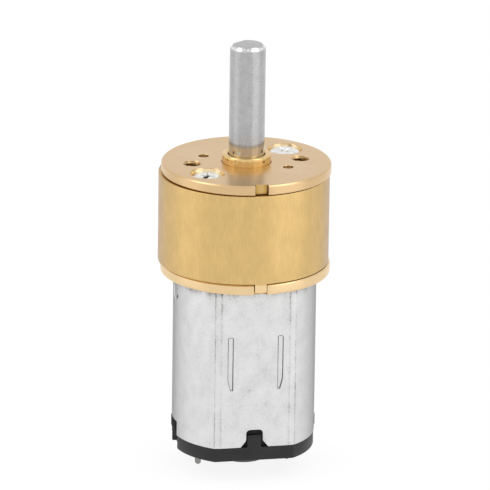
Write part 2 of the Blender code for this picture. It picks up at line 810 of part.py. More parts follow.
def drawn_along_y(name, outline, start, end):
    rings = [[(x, y, z) for x, z in outline] for y in (start, end)]
    return loft(name, rings)


def make_can(materials):
    can = loft("motor_can", can_shell(), materials["can_steel"])
    wall_bottom = CAN_TOP_Z - CAN_WALL
    boss_radius = CAN_BOSS_DIAMETER / 2
    edge = CAN_BOSS_CHAMFER
    boss_profile = [
        (0, CAN_BOSS_TOP_Z),
        (boss_radius - edge, CAN_BOSS_TOP_Z),
        (boss_radius, CAN_BOSS_TOP_Z - edge),
        (boss_radius, wall_bottom + OVERLAP),
        (0, wall_bottom + OVERLAP),
    ]
    join(can, turned("motor_can_boss", boss_profile, sides=MEDIUM_SIDES))
    bearing_bore = BEARING_DIAMETER + 2 * SEAT_GAP
    cut(can, rod("motor_can_bearing", bearing_bore, FRONT_BEARING_TOP_Z + SEAT_GAP, CAN_END_Z))
    cut(can, rod("motor_can_shaft_hole", CAN_SHAFT_HOLE_DIAMETER, 0, CAN_END_Z))
    for side in (-1, 1):
        place = (side * MOTOR_SCREW_SPACING / 2, 0, 0)
        hole = SCREW_DIAMETER + 2 * SEAT_GAP
        cut(can, rod("motor_can_thread", hole, 0, wall_bottom - CUT, place=place))
    reach = CAN_DIAMETER
    cut(can, drawn_along_y("motor_can_notch", can_end_notch(), -reach, reach))
    half_side = CAN_SIDE_NOTCH_WIDTH / 2
    side_notch = block(
        "motor_can_side_notch",
        (-reach, -half_side, CAN_END_Z - CUT),
        (reach, half_side, CAN_END_Z + CAN_SIDE_NOTCH_HEIGHT),
    )
    cut(can, side_notch)
    groove_floor = CAN_FLATS / 2 - GROOVE_DEPTH
    for side in (-1, 1):
        for face in (-1, 1):
            groove = drawn_along_y(
                "motor_can_groove",
                groove_outline(side),
                face * groove_floor,
                face * (groove_floor + CUT),
            )
            cut(can, groove)
    dimple = rod("motor_can_dimple", DIMPLE_DIAMETER, CUT, -DIMPLE_DEPTH)
    dimple.matrix_world = (
        Matrix.Translation((-CAN_DIAMETER / 2, DIMPLE_Y, DIMPLE_Z))
        @ Matrix.Rotation(-math.pi / 2, 4, "Y")
    )
    cut(can, dimple)


# End cap


def side_block_outline():
    """The block that fills the can's notch on +X: its outer face follows the can's round."""
    radius = CAN_DIAMETER / 2 - SEAT_GAP
    half = CAP_BLOCK_WIDTH / 2
    reach = math.asin(half / radius)
    steps = 6
    face = [polar(radius, reach * (2 * k / steps - 1)) for k in range(steps + 1)]
    root_x = radius - CAN_WALL - CAP_PLUG_WALL / 2
    return [(p.x, p.y) for p in face] + [(root_x, half), (root_x, -half)]


def make_end_cap(materials):
    rim_top = CAN_END_Z - SEAT_GAP
    rim_bottom = rim_top - CAP_RIM_HEIGHT
    edge = CAP_EDGE_CHAMFER
    rings = []
    for inset, height in ((0, rim_top), (0, rim_bottom + edge), (edge, rim_bottom)):
        outline = flat_sided_outline(CAP_RIM_DIAMETER, CAP_RIM_FLATS, CAP_BEND, inset)
        rings.append(at_height(outline, height))
    cap = loft("end_cap", rings, materials["black_plastic"])
    plug_inset = CAN_WALL + SEAT_GAP
    plug = prism(
        "end_cap_plug", can_outline(plug_inset), CAP_PLUG_TOP_Z, rim_top - OVERLAP
    )
    pocket = prism(
        "end_cap_pocket",
        can_outline(plug_inset + CAP_PLUG_WALL),
        CAP_PLUG_TOP_Z + CUT,
        CAP_FLOOR_Z,
    )
    boss_radius = REAR_BOSS_DIAMETER / 2
    boss_end = rim_bottom - REAR_BOSS_HEIGHT
    boss_profile = [
        (0, rim_bottom + OVERLAP),
        (boss_radius, rim_bottom + OVERLAP),
        (boss_radius, boss_end + REAR_BOSS_CHAMFER),
        (boss_radius - REAR_BOSS_CHAMFER, boss_end),
        (0, boss_end),
    ]
    boss = turned("end_cap_boss", boss_profile, sides=MEDIUM_SIDES)
    tab_face = CAP_RIM_FLATS / 2
    plug_face = CAN_FLATS / 2 - plug_inset
    tabs = []
    for face in (-1, 1):
        near, far = sorted((face * (plug_face - OVERLAP), face * tab_face))
        tabs.append(
            block(
                "end_cap_tab",
                (-CAP_TAB_WIDTH / 2, near, rim_top - OVERLAP),
                (CAP_TAB_WIDTH / 2, far, CAN_END_Z + CAP_TAB_HEIGHT),
            )
        )
    side_blocks = [
        prism(
            "end_cap_side_block",
            side_block_outline(),
            CAN_END_Z + CAN_SIDE_NOTCH_HEIGHT - SEAT_GAP,
            rim_bottom + CAP_RELIEF_HEIGHT - OVERLAP,
            turn=turn,
        )
        for turn in (0, math.pi)
    ]
    join(cap, plug, boss, *tabs, *side_blocks)
    cut(cap, pocket)
    bearing_bore = BEARING_DIAMETER / 2 + SEAT_GAP
    bearing_end = REAR_BEARING_END_Z - SEAT_GAP
    shaft_hole = CAP_SHAFT_HOLE_DIAMETER / 2
    bore_profile = [
        (0, CAP_FLOOR_Z + CUT),
        (bearing_bore, CAP_FLOOR_Z + CUT),
        (bearing_bore, bearing_end),
        (shaft_hole, bearing_end),
        (shaft_hole, boss_end - CUT),
        (0, boss_end - CUT),
    ]
    cut(cap, turned("end_cap_bore", bore_profile, sides=SMALL_SIDES))
    for side in (-1, 1):
        relief_near, relief_far = sorted((side * CAP_RELIEF_X, side * CAN_DIAMETER))
        slot_x = side * TERMINAL_X
        slot_half_x = TERMINAL_WIDTH / 2 + SEAT_GAP
        slot_half_y = TERMINAL_THICKNESS / 2 + SEAT_GAP
        cut(
            cap,
            block(
                "end_cap_relief",
                (relief_near, -CAN_SIDE_NOTCH_WIDTH / 2, rim_bottom - CUT),
                (relief_far, CAN_SIDE_NOTCH_WIDTH / 2, rim_bottom + CAP_RELIEF_HEIGHT),
            ),
            block(
                "end_cap_slot",
                (slot_x - slot_half_x, -slot_half_y, rim_bottom - CUT),
                (slot_x + slot_half_x, slot_half_y, CAP_FLOOR_Z + CUT),
            ),
        )


# Motor internals


def make_bearings(materials):
    bore = ROTOR_SHAFT_DIAMETER + 2 * RUNNING_GAP
    ends = {
        "front_bearing": (FRONT_BEARING_TOP_Z, FRONT_BEARING_END_Z),
        "rear_bearing": (REAR_BEARING_TOP_Z, REAR_BEARING_END_Z),
    }
    for name, (top, bottom) in ends.items():
        tube(name, BEARING_DIAMETER, bore, top, bottom, materials["bronze"])


def arc_outline(outer, inner, half_angle, middle, steps):
    angles = [middle + half_angle * (2 * k / steps - 1) for k in range(steps + 1)]
    outside = [polar(outer, angle) for angle in angles]
    inside = [polar(inner, angle) for angle in reversed(angles)]
    return [(p.x, p.y) for p in outside + inside]


def make_magnets(materials):
    for number, middle in enumerate((math.pi, 0), 1):
        outline = arc_outline(
            MAGNET_OUTER_RADIUS, MAGNET_INNER_RADIUS, MAGNET_HALF_ANGLE, middle, MAGNET_STEPS
        )
        prism(f"magnet_{number}", outline, MAGNET_TOP_Z, MAGNET_END_Z, materials["magnet"])


def core_outline():
    """Three T-shaped poles round a hub, the first pole on +X."""
    outer = CORE_DIAMETER / 2
    shoe_inner = outer - POLE_SHOE_THICKNESS
    neck = POLE_NECK_WIDTH / 2
    hub = CORE_HUB_DIAMETER / 2
    shoe = POLE_SHOE_HALF_ANGLE
    neck_hub_angle = math.asin(neck / hub)
    neck_shoe_angle = math.asin(neck / shoe_inner)
    steps = 8
    points = []
    for pole in range(POLE_COUNT):
        middle = 2 * math.pi * pole / POLE_COUNT
        points.append(polar(hub, middle - neck_hub_angle))
        points.append(polar(shoe_inner, middle - neck_shoe_angle))
        points.append(polar(shoe_inner, middle - shoe))
        for k in range(steps + 1):
            points.append(polar(outer, middle + shoe * (2 * k / steps - 1)))
        points.append(polar(shoe_inner, middle + shoe))
        points.append(polar(shoe_inner, middle + neck_shoe_angle))
        points.append(polar(hub, middle + neck_hub_angle))
        points.append(polar(hub, middle + math.pi / POLE_COUNT))
    return [(p.x, p.y) for p in points]


def make_core(materials):
    layers = {
        "armature_core": (CORE_TOP_Z, CORE_END_Z, "core_steel"),
        "armature_insulator_front": (
            CORE_TOP_Z + SEAT_GAP + INSULATOR_THICKNESS,
            CORE_TOP_Z + SEAT_GAP,
            "white_nylon",
        ),
        "armature_insulator_rear": (
            CORE_END_Z - SEAT_GAP,
            CORE_END_Z - SEAT_GAP - INSULATOR_THICKNESS,
            "white_nylon",
        ),
    }
    for name, (top, bottom, finish) in layers.items():
        layer = prism(name, core_outline(), top, bottom, materials[finish])
        hole = ROTOR_SHAFT_DIAMETER + 2 * SEAT_GAP
        cut(layer, rod(f"{name}_bore", hole, top + CUT, bottom - CUT))


def rounded_rectangle(half_width, low, high, corner, steps=4):
    """(y, z) points of a rectangle with rounded corners."""
    corners = [
        (half_width - corner, high - corner, 0),
        (-half_width + corner, high - corner, 1),
        (-half_width + corner, low + corner, 2),
        (half_width - corner, low + corner, 3),
    ]
    points = []
    for y, z, quarter in corners:
        for k in range(steps + 1):
            angle = math.pi / 2 * (quarter + k / steps)
            points.append((y + corner * math.cos(angle), z + corner * math.sin(angle)))
    return points


def make_coils(materials):
    stack_top = CORE_TOP_Z + 2 * SEAT_GAP + INSULATOR_THICKNESS
    stack_end = CORE_END_Z - 2 * SEAT_GAP - INSULATOR_THICKNESS
    low, high = stack_end - COIL_END_HEIGHT, stack_top + COIL_END_HEIGHT
    outer = rounded_rectangle(COIL_HALF_WIDTH, low, high, COIL_CORNER)
    half_hole = POLE_NECK_WIDTH / 2 + SEAT_GAP
    inner = rounded_rectangle(half_hole, stack_end, stack_top, COIL_HOLE_CORNER)
    for number in range(POLE_COUNT):
        rings = [[(x, y, z) for y, z in outer] for x in (COIL_INNER_X, COIL_OUTER_X)]
        name = f"coil_{number + 1}"
        turn = 2 * math.pi * number / POLE_COUNT
        coil = loft(name, rings, materials["copper"], turn=turn)
        hole_rings = [
            [(x, y, z) for y, z in inner] for x in (COIL_INNER_X - CUT, COIL_OUTER_X + CUT)
        ]
        cut(coil, loft(f"{name}_hole", hole_rings, turn=turn))


def make_commutator(materials):
    hub = COMMUTATOR_HUB_DIAMETER / 2
    flange = COMMUTATOR_FLANGE_DIAMETER / 2
    bore = ROTOR_SHAFT_DIAMETER / 2 + SEAT_GAP
    flange_end = COMMUTATOR_TOP_Z - COMMUTATOR_FLANGE
    profile = [
        (bore, COMMUTATOR_TOP_Z),
        (flange, COMMUTATOR_TOP_Z),
        (flange, flange_end),
        (hub, flange_end),
        (hub, COMMUTATOR_END_Z),
        (bore, COMMUTATOR_END_Z),
    ]
    turned("commutator_hub", profile, materials["white_nylon"], SMALL_SIDES)
    for number in range(POLE_COUNT):
        middle = math.pi / POLE_COUNT + 2 * math.pi * number / POLE_COUNT
        outline = arc_outline(
            COMMUTATOR_DIAMETER / 2, hub + SEAT_GAP, SEGMENT_HALF_ANGLE, middle, SEGMENT_STEPS
        )
        prism(
            f"commutator_segment_{number + 1}",
            outline,
            flange_end - SEAT_GAP,
            COMMUTATOR_END_Z,
            materials["copper"],
        )


def make_rotor_shaft(materials):
    radius = ROTOR_SHAFT_DIAMETER / 2
    edge = FINE_CHAMFER
    profile = [
        (0, stage_top(1)),
        (radius, stage_top(1)),
        (radius, ROTOR_SHAFT_END_Z + edge),
        (radius - edge, ROTOR_SHAFT_END_Z),
        (0, ROTOR_SHAFT_END_Z),
    ]
    turned("motor_shaft", profile, materials["shaft_steel"], SMALL_SIDES)
    bore = ROTOR_SHAFT_DIAMETER + 2 * SEAT_GAP
    washers = {
        "rotor_washer_front": FRONT_BEARING_END_Z - HUB_PLAY,
        "rotor_washer_rear": COMMUTATOR_END_Z - SEAT_GAP,
    }
    for name, top in washers.items():
        bottom = top - ROTOR_WASHER_THICKNESS
        tube(name, ROTOR_WASHER_DIAMETER, bore, top, bottom, materials["white_nylon"])


def make_brushes(materials):
    """Each brush is a springy strip: a foot beside its terminal and an arm that lies along
    the commutator."""
    reach = COMMUTATOR_DIAMETER / 2 + SEAT_GAP
    foot_x = TERMINAL_X + TERMINAL_WIDTH / 2 + SEAT_GAP
    for number, turn in enumerate((math.pi, 0), 1):
        half_foot = BRUSH_FOOT_WIDTH / 2
        name = f"brush_{number}"
        arm_outline = [
            (foot_x + BRUSH_SHEET, -half_foot),
            (foot_x + BRUSH_SHEET, reach + BRUSH_SHEET),
            (BRUSH_ARM_END_X, reach + BRUSH_SHEET),
            (BRUSH_ARM_END_X, reach),
            (foot_x, reach),
            (foot_x, -half_foot),
        ]
        brush = prism(name, arm_outline, BRUSH_TOP_Z, BRUSH_END_Z, materials["copper"], turn=turn)
        foot = block(
            f"{name}_foot",
            (foot_x, -half_foot, CAP_FLOOR_Z + SEAT_GAP),
            (foot_x + BRUSH_SHEET, half_foot, BRUSH_END_Z + OVERLAP),
        )
        foot.rotation_euler.z = turn
        join(brush, foot)


def make_terminals(materials):
    half_x, half_y = TERMINAL_WIDTH / 2, TERMINAL_THICKNESS / 2
    steps = 6
    profile = [(half_x, TERMINAL_TOP_Z), (-half_x, TERMINAL_TOP_Z)]
    for k in range(steps + 1):
        angle = math.pi + math.pi * k / steps
        x = half_x * math.cos(angle)
        z = TERMINAL_END_Z + half_x + half_x * math.sin(angle)
        profile.append((x, z))
    for number, side in enumerate((-1, 1), 1):
        terminal = drawn_along_y(f"terminal_{number}", profile, -half_y, half_y)
        terminal.data.materials.append(materials["terminal_metal"])
        terminal.location.x = side * TERMINAL_X


def build():
    remove_all_objects()
    materials = make_materials()
    make_output_shaft(materials)
    make_output_bush(materials)
    make_front_plate(materials)
    make_sleeve(materials)
    make_rear_plate(materials)
    make_gearbox_screws(materials)
    make_gear_train(materials)
    make_motor_screws(materials)
    make_can(materials)
    make_end_cap(materials)
    make_bearings(materials)
    make_magnets(materials)
    make_core(materials)
    make_coils(materials)
    make_commutator(materials)
    make_rotor_shaft(materials)
    make_brushes(materials)
    make_terminals(materials)


build()
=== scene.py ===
"""The looks of the miniature gearmotor: detailed outer pieces, procedural metals and a studio.

Every outer piece is a fine mesh that stands for its CAD node. The pieces sealed inside keep
their CAD shape and get a finish. Sizes are in metres, in the CAD frame: +Z out along the
output shaft from the gearbox's front face, and the motor's flats facing -Y and +Y.
"""

import json
import math

import bmesh
import bpy
from mathutils import Matrix, Vector

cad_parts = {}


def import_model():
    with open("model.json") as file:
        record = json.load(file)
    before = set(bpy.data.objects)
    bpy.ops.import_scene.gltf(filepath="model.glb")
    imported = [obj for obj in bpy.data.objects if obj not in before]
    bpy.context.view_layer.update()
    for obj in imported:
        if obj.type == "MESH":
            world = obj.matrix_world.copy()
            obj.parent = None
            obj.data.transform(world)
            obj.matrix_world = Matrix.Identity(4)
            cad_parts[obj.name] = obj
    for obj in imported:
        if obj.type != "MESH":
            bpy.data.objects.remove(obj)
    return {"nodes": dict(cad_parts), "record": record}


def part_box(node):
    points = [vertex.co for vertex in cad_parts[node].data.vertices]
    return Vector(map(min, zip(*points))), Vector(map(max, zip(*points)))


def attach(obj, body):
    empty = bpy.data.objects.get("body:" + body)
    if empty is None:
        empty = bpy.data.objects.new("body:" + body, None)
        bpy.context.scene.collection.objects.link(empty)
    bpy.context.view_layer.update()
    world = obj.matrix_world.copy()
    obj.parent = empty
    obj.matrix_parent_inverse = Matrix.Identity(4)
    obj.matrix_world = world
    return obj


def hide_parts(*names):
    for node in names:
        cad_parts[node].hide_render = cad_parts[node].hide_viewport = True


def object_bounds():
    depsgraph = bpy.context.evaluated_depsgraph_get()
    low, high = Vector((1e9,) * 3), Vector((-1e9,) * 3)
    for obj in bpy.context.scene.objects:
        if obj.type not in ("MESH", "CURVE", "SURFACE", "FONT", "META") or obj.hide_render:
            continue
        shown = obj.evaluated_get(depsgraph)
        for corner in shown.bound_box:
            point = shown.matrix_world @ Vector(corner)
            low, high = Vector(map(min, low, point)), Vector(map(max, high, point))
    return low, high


MM = 0.001
CUT = 1.0 * MM  # how far a cutter runs past the face that it goes through
OVERLAP = 0.1 * MM  # how far two shapes that are joined reach into each other
SEAT_GAP = 0.03 * MM  # space between pieces that are pressed or clamped together
SHARP = math.radians(32)  # edges that turn by more than this stay crisp
FLAT_SHARP = math.radians(8)  # the same on the plates and the shaft, whose faces are dead flat
NEAR = 0.05 * MM  # how close to a face an edge still counts as being on it
EDGE_TINY = 0.03 * MM  # roundings that several pieces share
EDGE_SMALL = 0.05 * MM
EDGE_WIDE = 0.08 * MM
ARC_MIDDLE = 0.3  # how far in, as a share of its radius, a round edge is at its middle

# Facets round a full turn
FINE = 192
MEDIUM = 96
SMALL = 48

# CAD nodes that come in pairs
GEARBOX_SCREWS = ("gearbox_screw_1", "gearbox_screw_2")
MOTOR_SCREWS = ("motor_screw_1", "motor_screw_2")
AXLE_PINS = ("axle_pin_a", "axle_pin_b")
TERMINALS = ("terminal_1", "terminal_2")

# Output shaft and bush
SHAFT_TIP_CHAMFER = 0.3 * MM
SHAFT_TAIL_DIAMETER = 1.0 * MM
GEAR_SEAT_STEP = 0.4 * MM  # how much smaller the shaft's radius is where its gear sits
BUSH_CLEARANCE = 0.04 * MM
D_FLAT_DEPTH = 0.5 * MM
D_FLAT_END_Z = 1.4 * MM
D_FLAT_ANGLE = math.radians(125)
BUSH_EDGE = 0.2 * MM

# Gearbox case
PLATE_CHAMFER = 0.12 * MM
REAR_PLATE_ROUNDING = 0.16 * MM
NOTCH_X = -0.08 * MM
NOTCH_WIDTH = 1.1 * MM
NOTCH_DEPTH = 0.42 * MM
NOTCH_ROUNDING = 0.2 * MM
NOTCH_EDGE = 0.035 * MM
SLEEVE_WALL = 0.35 * MM
SLEEVE_EDGE = 0.04 * MM
TONGUE_WIDTH = 1.0 * MM
TONGUE_LENGTH = 0.71 * MM
TONGUE_ROOT = 0.5 * MM  # how far the tongue reaches up into the sleeve's wall
MOUNT_HOLE_X = 4.6 * MM
MOUNT_HOLE_CORE = 1.25 * MM
MOUNT_HOLE_CHAMFER = 0.17 * MM
THREAD_PITCH = 0.35 * MM
THREAD_DEPTH = 0.14 * MM
COUNTERBORE_DIAMETER = 2.9 * MM
COUNTERBORE_FOOT = 2.54 * MM
COUNTERBORE_DEPTH = 0.6 * MM
COUNTERBORE_EDGE = 0.1 * MM
SCREW_SHANK_DIAMETER = 1.6 * MM
SCREW_HEAD_HEIGHT = 0.32 * MM
SCREW_CROWN = 0.1 * MM  # how much lower the head is at its rim than in the middle
SCREW_CROWN_START = 0.72  # where the fall to the rim starts, as a share of the head's radius
SCREW_CROWN_ROUNDING = 0.3 * MM
SCREW_RISES = (0.18 * MM, 0.06 * MM)  # how far each head stands above its CAD solid
SCREW_TURNS = (0.5, 1.1)  # the angle of each cross recess
CROSS_ARM_WIDTH = 0.42 * MM
CROSS_ARM_LENGTH = 1.8 * MM
CROSS_DEPTH = 0.4 * MM
CROSS_FOOT_WIDTH = CROSS_ARM_WIDTH * 0.55
CROSS_FOOT_LENGTH = CROSS_ARM_LENGTH * 0.45
CROSS_EDGE = 0.015 * MM
COUNTERSINK_DEPTH = 0.45 * MM
AXLE_CHAMFER = 0.08 * MM
AXLE_ROUNDING = 0.04 * MM

# Motor can
CAN_DIAMETER = 12.0 * MM
CAN_FLATS = 10.0 * MM
CAN_WALL = 0.5 * MM
CAN_SHOULDER = 0.5 * MM
CAN_EDGE = 0.06 * MM
CREASE_FLAT_X = 2.9 * MM
CREASE_ROUND_X = 3.42 * MM
CREASE_RADIUS = 0.22 * MM
CAN_BOSS_DIAMETER = 4.0 * MM
CAN_BOSS_CHAMFER = 0.12 * MM
CAN_SHAFT_HOLE = 1.6 * MM
BEARING_BORE = 2.96 * MM
NOTCH_TOP_WIDTH = 1.43 * MM
NOTCH_MOUTH_WIDTH = 2.4 * MM
NOTCH_HEIGHT = 1.55 * MM
NOTCH_FLARE_HEIGHT = 0.6 * MM
NOTCH_CORNER = 0.32 * MM
SIDE_NOTCH_WIDTH = 2.24 * MM
SIDE_NOTCH_HEIGHT = 1.25 * MM
SIDE_NOTCH_CORNER = 0.15 * MM
GROOVE_X = 2.12 * MM
GROOVE_WIDTH = 0.48 * MM
GROOVE_TOP_Z = -13.8 * MM
GROOVE_END_Z = -18.5 * MM
GROOVE_SLANT = 0.9 * MM
GROOVE_END_WIDTH = 0.24 * MM
GROOVE_CORNER = 0.14 * MM
GROOVE_BEND = 2.0 * MM
GROOVE_DEPTH = 0.04 * MM
GROOVE_END_DEPTH = 0.13 * MM
SLIT_WIDTH = 0.06 * MM
SLIT_DEPTH = 0.3 * MM
DIMPLE_Y = -0.55 * MM
DIMPLE_Z = -10.95 * MM
DIMPLE_DIAMETER = 1.6 * MM
DIMPLE_DEPTH = 0.07 * MM
DIMPLE_EDGE = 0.04 * MM
DISH_FLOOR = 0.7  # the size of a dish's flat floor, as a share of its mouth
PINHOLE_Y = -0.98 * MM
PINHOLE_Z = -11.28 * MM
PINHOLE_DIAMETER = 0.27 * MM
PINHOLE_DEPTH = 0.35 * MM
PINHOLE_EDGE = 0.02 * MM

# End cap and terminals
CAP_RIM_DIAMETER = 11.9 * MM
CAP_RIM_FLATS = 9.84 * MM
CAP_RIM_HEIGHT = 1.19 * MM
CAP_CORNER = 0.2 * MM
CAP_EDGE = 0.12 * MM
CAP_SMALL_EDGE = 0.025 * MM
CAP_PLUG_INSET = CAN_WALL + SEAT_GAP
CAP_PLUG_WALL = 0.75 * MM
CAP_FLOOR_DEPTH = 0.17 * MM
CAP_TAB_WIDTH = 1.16 * MM
CAP_TAB_HEIGHT = 1.03 * MM
CAP_TAB_CORNER = 0.06 * MM
CAP_BLOCK_WIDTH = 2.1 * MM
CAP_LEDGE_HEIGHT = 0.85 * MM
CAP_LEDGE_DEPTH = 0.03 * MM
CAP_LEDGE_REACH = 0.05 * MM
CAP_RELIEF_X = 5.5 * MM
CAP_RELIEF_HEIGHT = 0.95 * MM
REAR_BOSS_DIAMETER = 4.4 * MM
REAR_BOSS_CHAMFER = 0.25 * MM
CAP_SHAFT_HOLE = 1.5 * MM
CAP_HOLE_EDGE = 0.06 * MM
TERMINAL_EDGE = 0.05 * MM

# Wear, colour and painted light and shade
TARNISH_AND_SHADE = (0.17, 0.09, 0.03)
SHADED_STAINED_BRASS = (0.60, 0.37, 0.11)
# BRASS_HIGHLIGHT is a painted highlight colour for the counterbores' walls
BRASS_HIGHLIGHT = (0.93, 0.79, 0.50)
RUBBED_BRASS = (0.86, 0.64, 0.36)
# STEEL_HIGHLIGHT is a painted highlight colour for the chamfer at the shaft's tip
STEEL_HIGHLIGHT = (0.85, 0.85, 0.85)
JOURNAL_STEEL = (0.60, 0.56, 0.50)
OIL_STAIN = (0.24, 0.16, 0.09)
DIRT_AND_SHADE = (0.08, 0.07, 0.055)
FADE = 0.1 * MM  # how softly a mark ends
JOURNAL_TONE_Z = (1.4 * MM, 1.9 * MM)  # where the shaft's tone changes above its journal
JOURNAL_MATT_Z = (1.6 * MM, 2.3 * MM)  # where it turns from polished to matt
OIL_Z = (-0.16 * MM, -0.06 * MM)  # where old oil gives way to clean steel
HOLE_LIMIT = 6.4 * MM  # holes lie within this distance from the shaft's axis
HOLE_DARKER_Z = (-0.02 * MM, -0.08 * MM)  # where the painted shade and tarnish in a hole grow darker
HOLE_PALER_Z = (-0.14 * MM, -0.35 * MM)  # where it grows paler again
COUNTERBORE_HIGHLIGHT_Z = (-0.03 * MM, -0.1 * MM)  # where a counterbore's wall turns to the painted highlight
NOTCH_MARGIN = 0.01 * MM  # how far round the notch its painted shade and stain still show
NOTCH_SHADE_START = 0.1 * MM
TONGUE_RUB = 0.15 * MM  # the length over which the tongue grows paler
COUNTERBORE_REACH = 1.5 * MM  # how far from a hole's axis its polish, its painted highlight and its deeper painted shade go
COUNTERBORE_SHADE_SHIFT = 0.5 * MM  # how much deeper than elsewhere its painted shade and tarnish start
MOUNT_HOLE_REACH = 0.9 * MM
MOUNT_HOLE_SHADE_SHIFT = 0.12 * MM
RECESS_DIRT_SHADE_REACH = 0.5 * MM
RECESS_DIRT_SHADE_FADE = 0.4 * MM
RECESS_DIRT_SHADE_Z = (-0.24 * MM, -0.45 * MM)  # where the painted shade and dirt in a cross recess grow darker
# the width of the painted shade along each crease
CREASE_SHADE_WIDTH = 0.07 * MM
GEARBOX_SHADOW_Z = (-10.6 * MM, -9.9 * MM)  # where the painted shadow under the gearbox grows darker
PINHOLE_SHADE_FADE = 0.04 * MM
BLOCK_FADE = 0.05 * MM

# Camera and light
CAMERA_AZIMUTH = math.radians(-11.5)
CAMERA_ELEVATION = math.radians(18.1)
CAMERA_ROLL = math.radians(0.79)
CAMERA_AIM = Vector((-0.02 * MM, 0, -7.38 * MM))
CAMERA_FIELD = 41.0 * MM
CAMERA_LENS = 500.0
CAMERA_SENSOR = 36.0
CAMERA_CLIP = (0.01, 20.0)
FLOOR_RADIUS = 3.0
FLOOR_FACETS = 128
FLOOR_TONE = 0.12
FLOOR_GLOW = 0.885
SURROUNDINGS = 0.96  # brightness of the white room round the object
STRIP_DISTANCE = 60 * MM
STRIP_HEIGHT = 66 * MM
STRIPS = (  # name, turn from the camera, width, brightness
    ("strip_right", math.radians(57), 51 * MM, 0.32),
    ("strip_left", math.radians(-75), 37 * MM, 0.23),
)
OVERHEAD_DISTANCE = 0.5
OVERHEAD_SIZE = 0.22
OVERHEAD_BRIGHTNESS = 1.7
OVERHEADS = (  # name, turn from the camera, elevation
    ("overhead_left", math.radians(-82), math.radians(50)),
    ("overhead_right", math.radians(80), math.radians(58)),
)


# Mesh tools


def polar(radius, angle, height=0.0):
    return Vector((radius * math.cos(angle), radius * math.sin(angle), height))


def mesh_object(name, data):
    bmesh.ops.recalc_face_normals(data, faces=data.faces)
    mesh = bpy.data.meshes.new(name)
    data.to_mesh(mesh)
    data.free()
    thing = bpy.data.objects.new(name, mesh)
    bpy.context.scene.collection.objects.link(thing)
    return thing


def loft(name, rings):
    """A solid skinned over closed rings of points, with a flat cap at each end. A ring of one
    point closes that end to a tip."""
    data = bmesh.new()
    loops = [[data.verts.new(point) for point in ring] for ring in rings]
    for upper, lower in zip(loops, loops[1:]):
        count = max(len(upper), len(lower))
        for k in range(count):
            corners = []
            for ring, index in ((upper, k), (lower, k), (lower, k + 1), (upper, k + 1)):
                corner = ring[index % len(ring)]
                if corner not in corners:
                    corners.append(corner)
            data.faces.new(corners)
    for end in (loops[0], loops[-1]):
        if len(end) > 1:
            data.faces.new(end)
    return mesh_object(name, data)


def circle(radius, height, centre, sides):
    """Points round an upright line through the centre."""
    return [centre + polar(radius, 2 * math.pi * k / sides, height) for k in range(sides)]


def turned(name, profile, sides=MEDIUM, place=(0, 0, 0)):
    """A turned solid from (radius, height) points that run from the axis back to the axis."""
    centre = Vector(place)
    return loft(name, [circle(r, height, centre, sides if r > 0 else 1) for r, height in profile])


def turned_ring(name, profile, sides=MEDIUM, place=(0, 0, 0)):
    """A turned ring from (radius, height) points that form a closed outline."""
    centre = Vector(place)
    data = bmesh.new()
    loops = []
    for radius, height in profile:
        loops.append([data.verts.new(point) for point in circle(radius, height, centre, sides)])
    for upper, lower in zip(loops, loops[1:] + loops[:1]):
        for k in range(sides):
            after = (k + 1) % sides
            data.faces.new((upper[k], lower[k], lower[after], upper[after]))
    return mesh_object(name, data)


def skinned(name, outline, levels):
    """A solid skinned over an outline that each (inset, height) level moves in by its inset."""
    return loft(name, [[(x, y, height) for x, y in outline(inset)] for inset, height in levels])


def prism(name, outline, top, bottom):
    """An (x, y) outline drawn out between two heights."""
    return loft(name, [[(x, y, height) for x, y in outline] for height in (top, bottom)])


def prism_along_y(name, outline, start, end):
    """An (x, z) outline drawn out between two values of y."""
    return loft(name, [[(x, y, z) for x, z in outline] for y in (start, end)])


def block(name, low, high):
    outline = [(low[0], low[1]), (high[0], low[1]), (high[0], high[1]), (low[0], high[1])]
    return prism(name, outline, high[2], low[2])


def rounded(corners, steps=4):
    """A closed outline through (x, y, rounding) corners, with each rounding made an arc."""
    points = []
    for k, (x, y, rounding) in enumerate(corners):
        here = Vector((x, y))
        if rounding == 0:
            points.append((x, y))
            continue
        back = (Vector(corners[k - 1][:2]) - here).normalized()
        ahead = (Vector(corners[(k + 1) % len(corners)][:2]) - here).normalized()
        half = back.angle(ahead) / 2
        centre = here + (back + ahead).normalized() * (rounding / math.sin(half))
        start = here + back * (rounding / math.tan(half)) - centre
        end = here + ahead * (rounding / math.tan(half)) - centre
        sweep = math.atan2(start.x * end.y - start.y * end.x, start.dot(end))
        first = math.atan2(start.y, start.x)
        for step in range(steps + 1):
            angle = first + sweep * step / steps
            points.append(
                (centre.x + rounding * math.cos(angle), centre.y + rounding * math.sin(angle))
            )
    return points


def apply_modifiers(thing):
    """Gives the object the mesh that its modifiers make, and takes the modifiers off."""
    graph = bpy.context.evaluated_depsgraph_get()
    made = bpy.data.meshes.new_from_object(thing.evaluated_get(graph), depsgraph=graph)
    before = thing.data
    thing.modifiers.clear()
    thing.data = made
    made.name = before.name
    bpy.data.meshes.remove(before)


def combine(thing, operation, others):
    """Applies one Boolean for each other shape, and removes those shapes."""
    for other in others:
        modifier = thing.modifiers.new(operation, "BOOLEAN")
        modifier.operation = operation
        modifier.solver = "MANIFOLD"
        modifier.object = other
    bpy.context.view_layer.update()
    apply_modifiers(thing)
    for other in others:
        bpy.data.objects.remove(other)


def cut(thing, *cutters):
    combine(thing, "DIFFERENCE", cutters)


def join(thing, *others):
    combine(thing, "UNION", others)


def soften(thing, width, steps=2, where=None):
    """Rounds the object's sharp edges, or those of them whose middle is where it says."""
    data = bmesh.new()
    data.from_mesh(thing.data)
    chosen = []
    for edge in data.edges:
        if not edge.is_manifold or edge.calc_face_angle() < SHARP:
            continue
        middle = (edge.verts[0].co + edge.verts[1].co) / 2
        if where is None or where(middle):
            chosen.append(edge)
    bmesh.ops.bevel(
        data,
        geom=chosen,
        offset=width,
        segments=steps,
        profile=0.5,
        affect="EDGES",
        clamp_overlap=False,
    )
    data.to_mesh(thing.data)
    data.free()


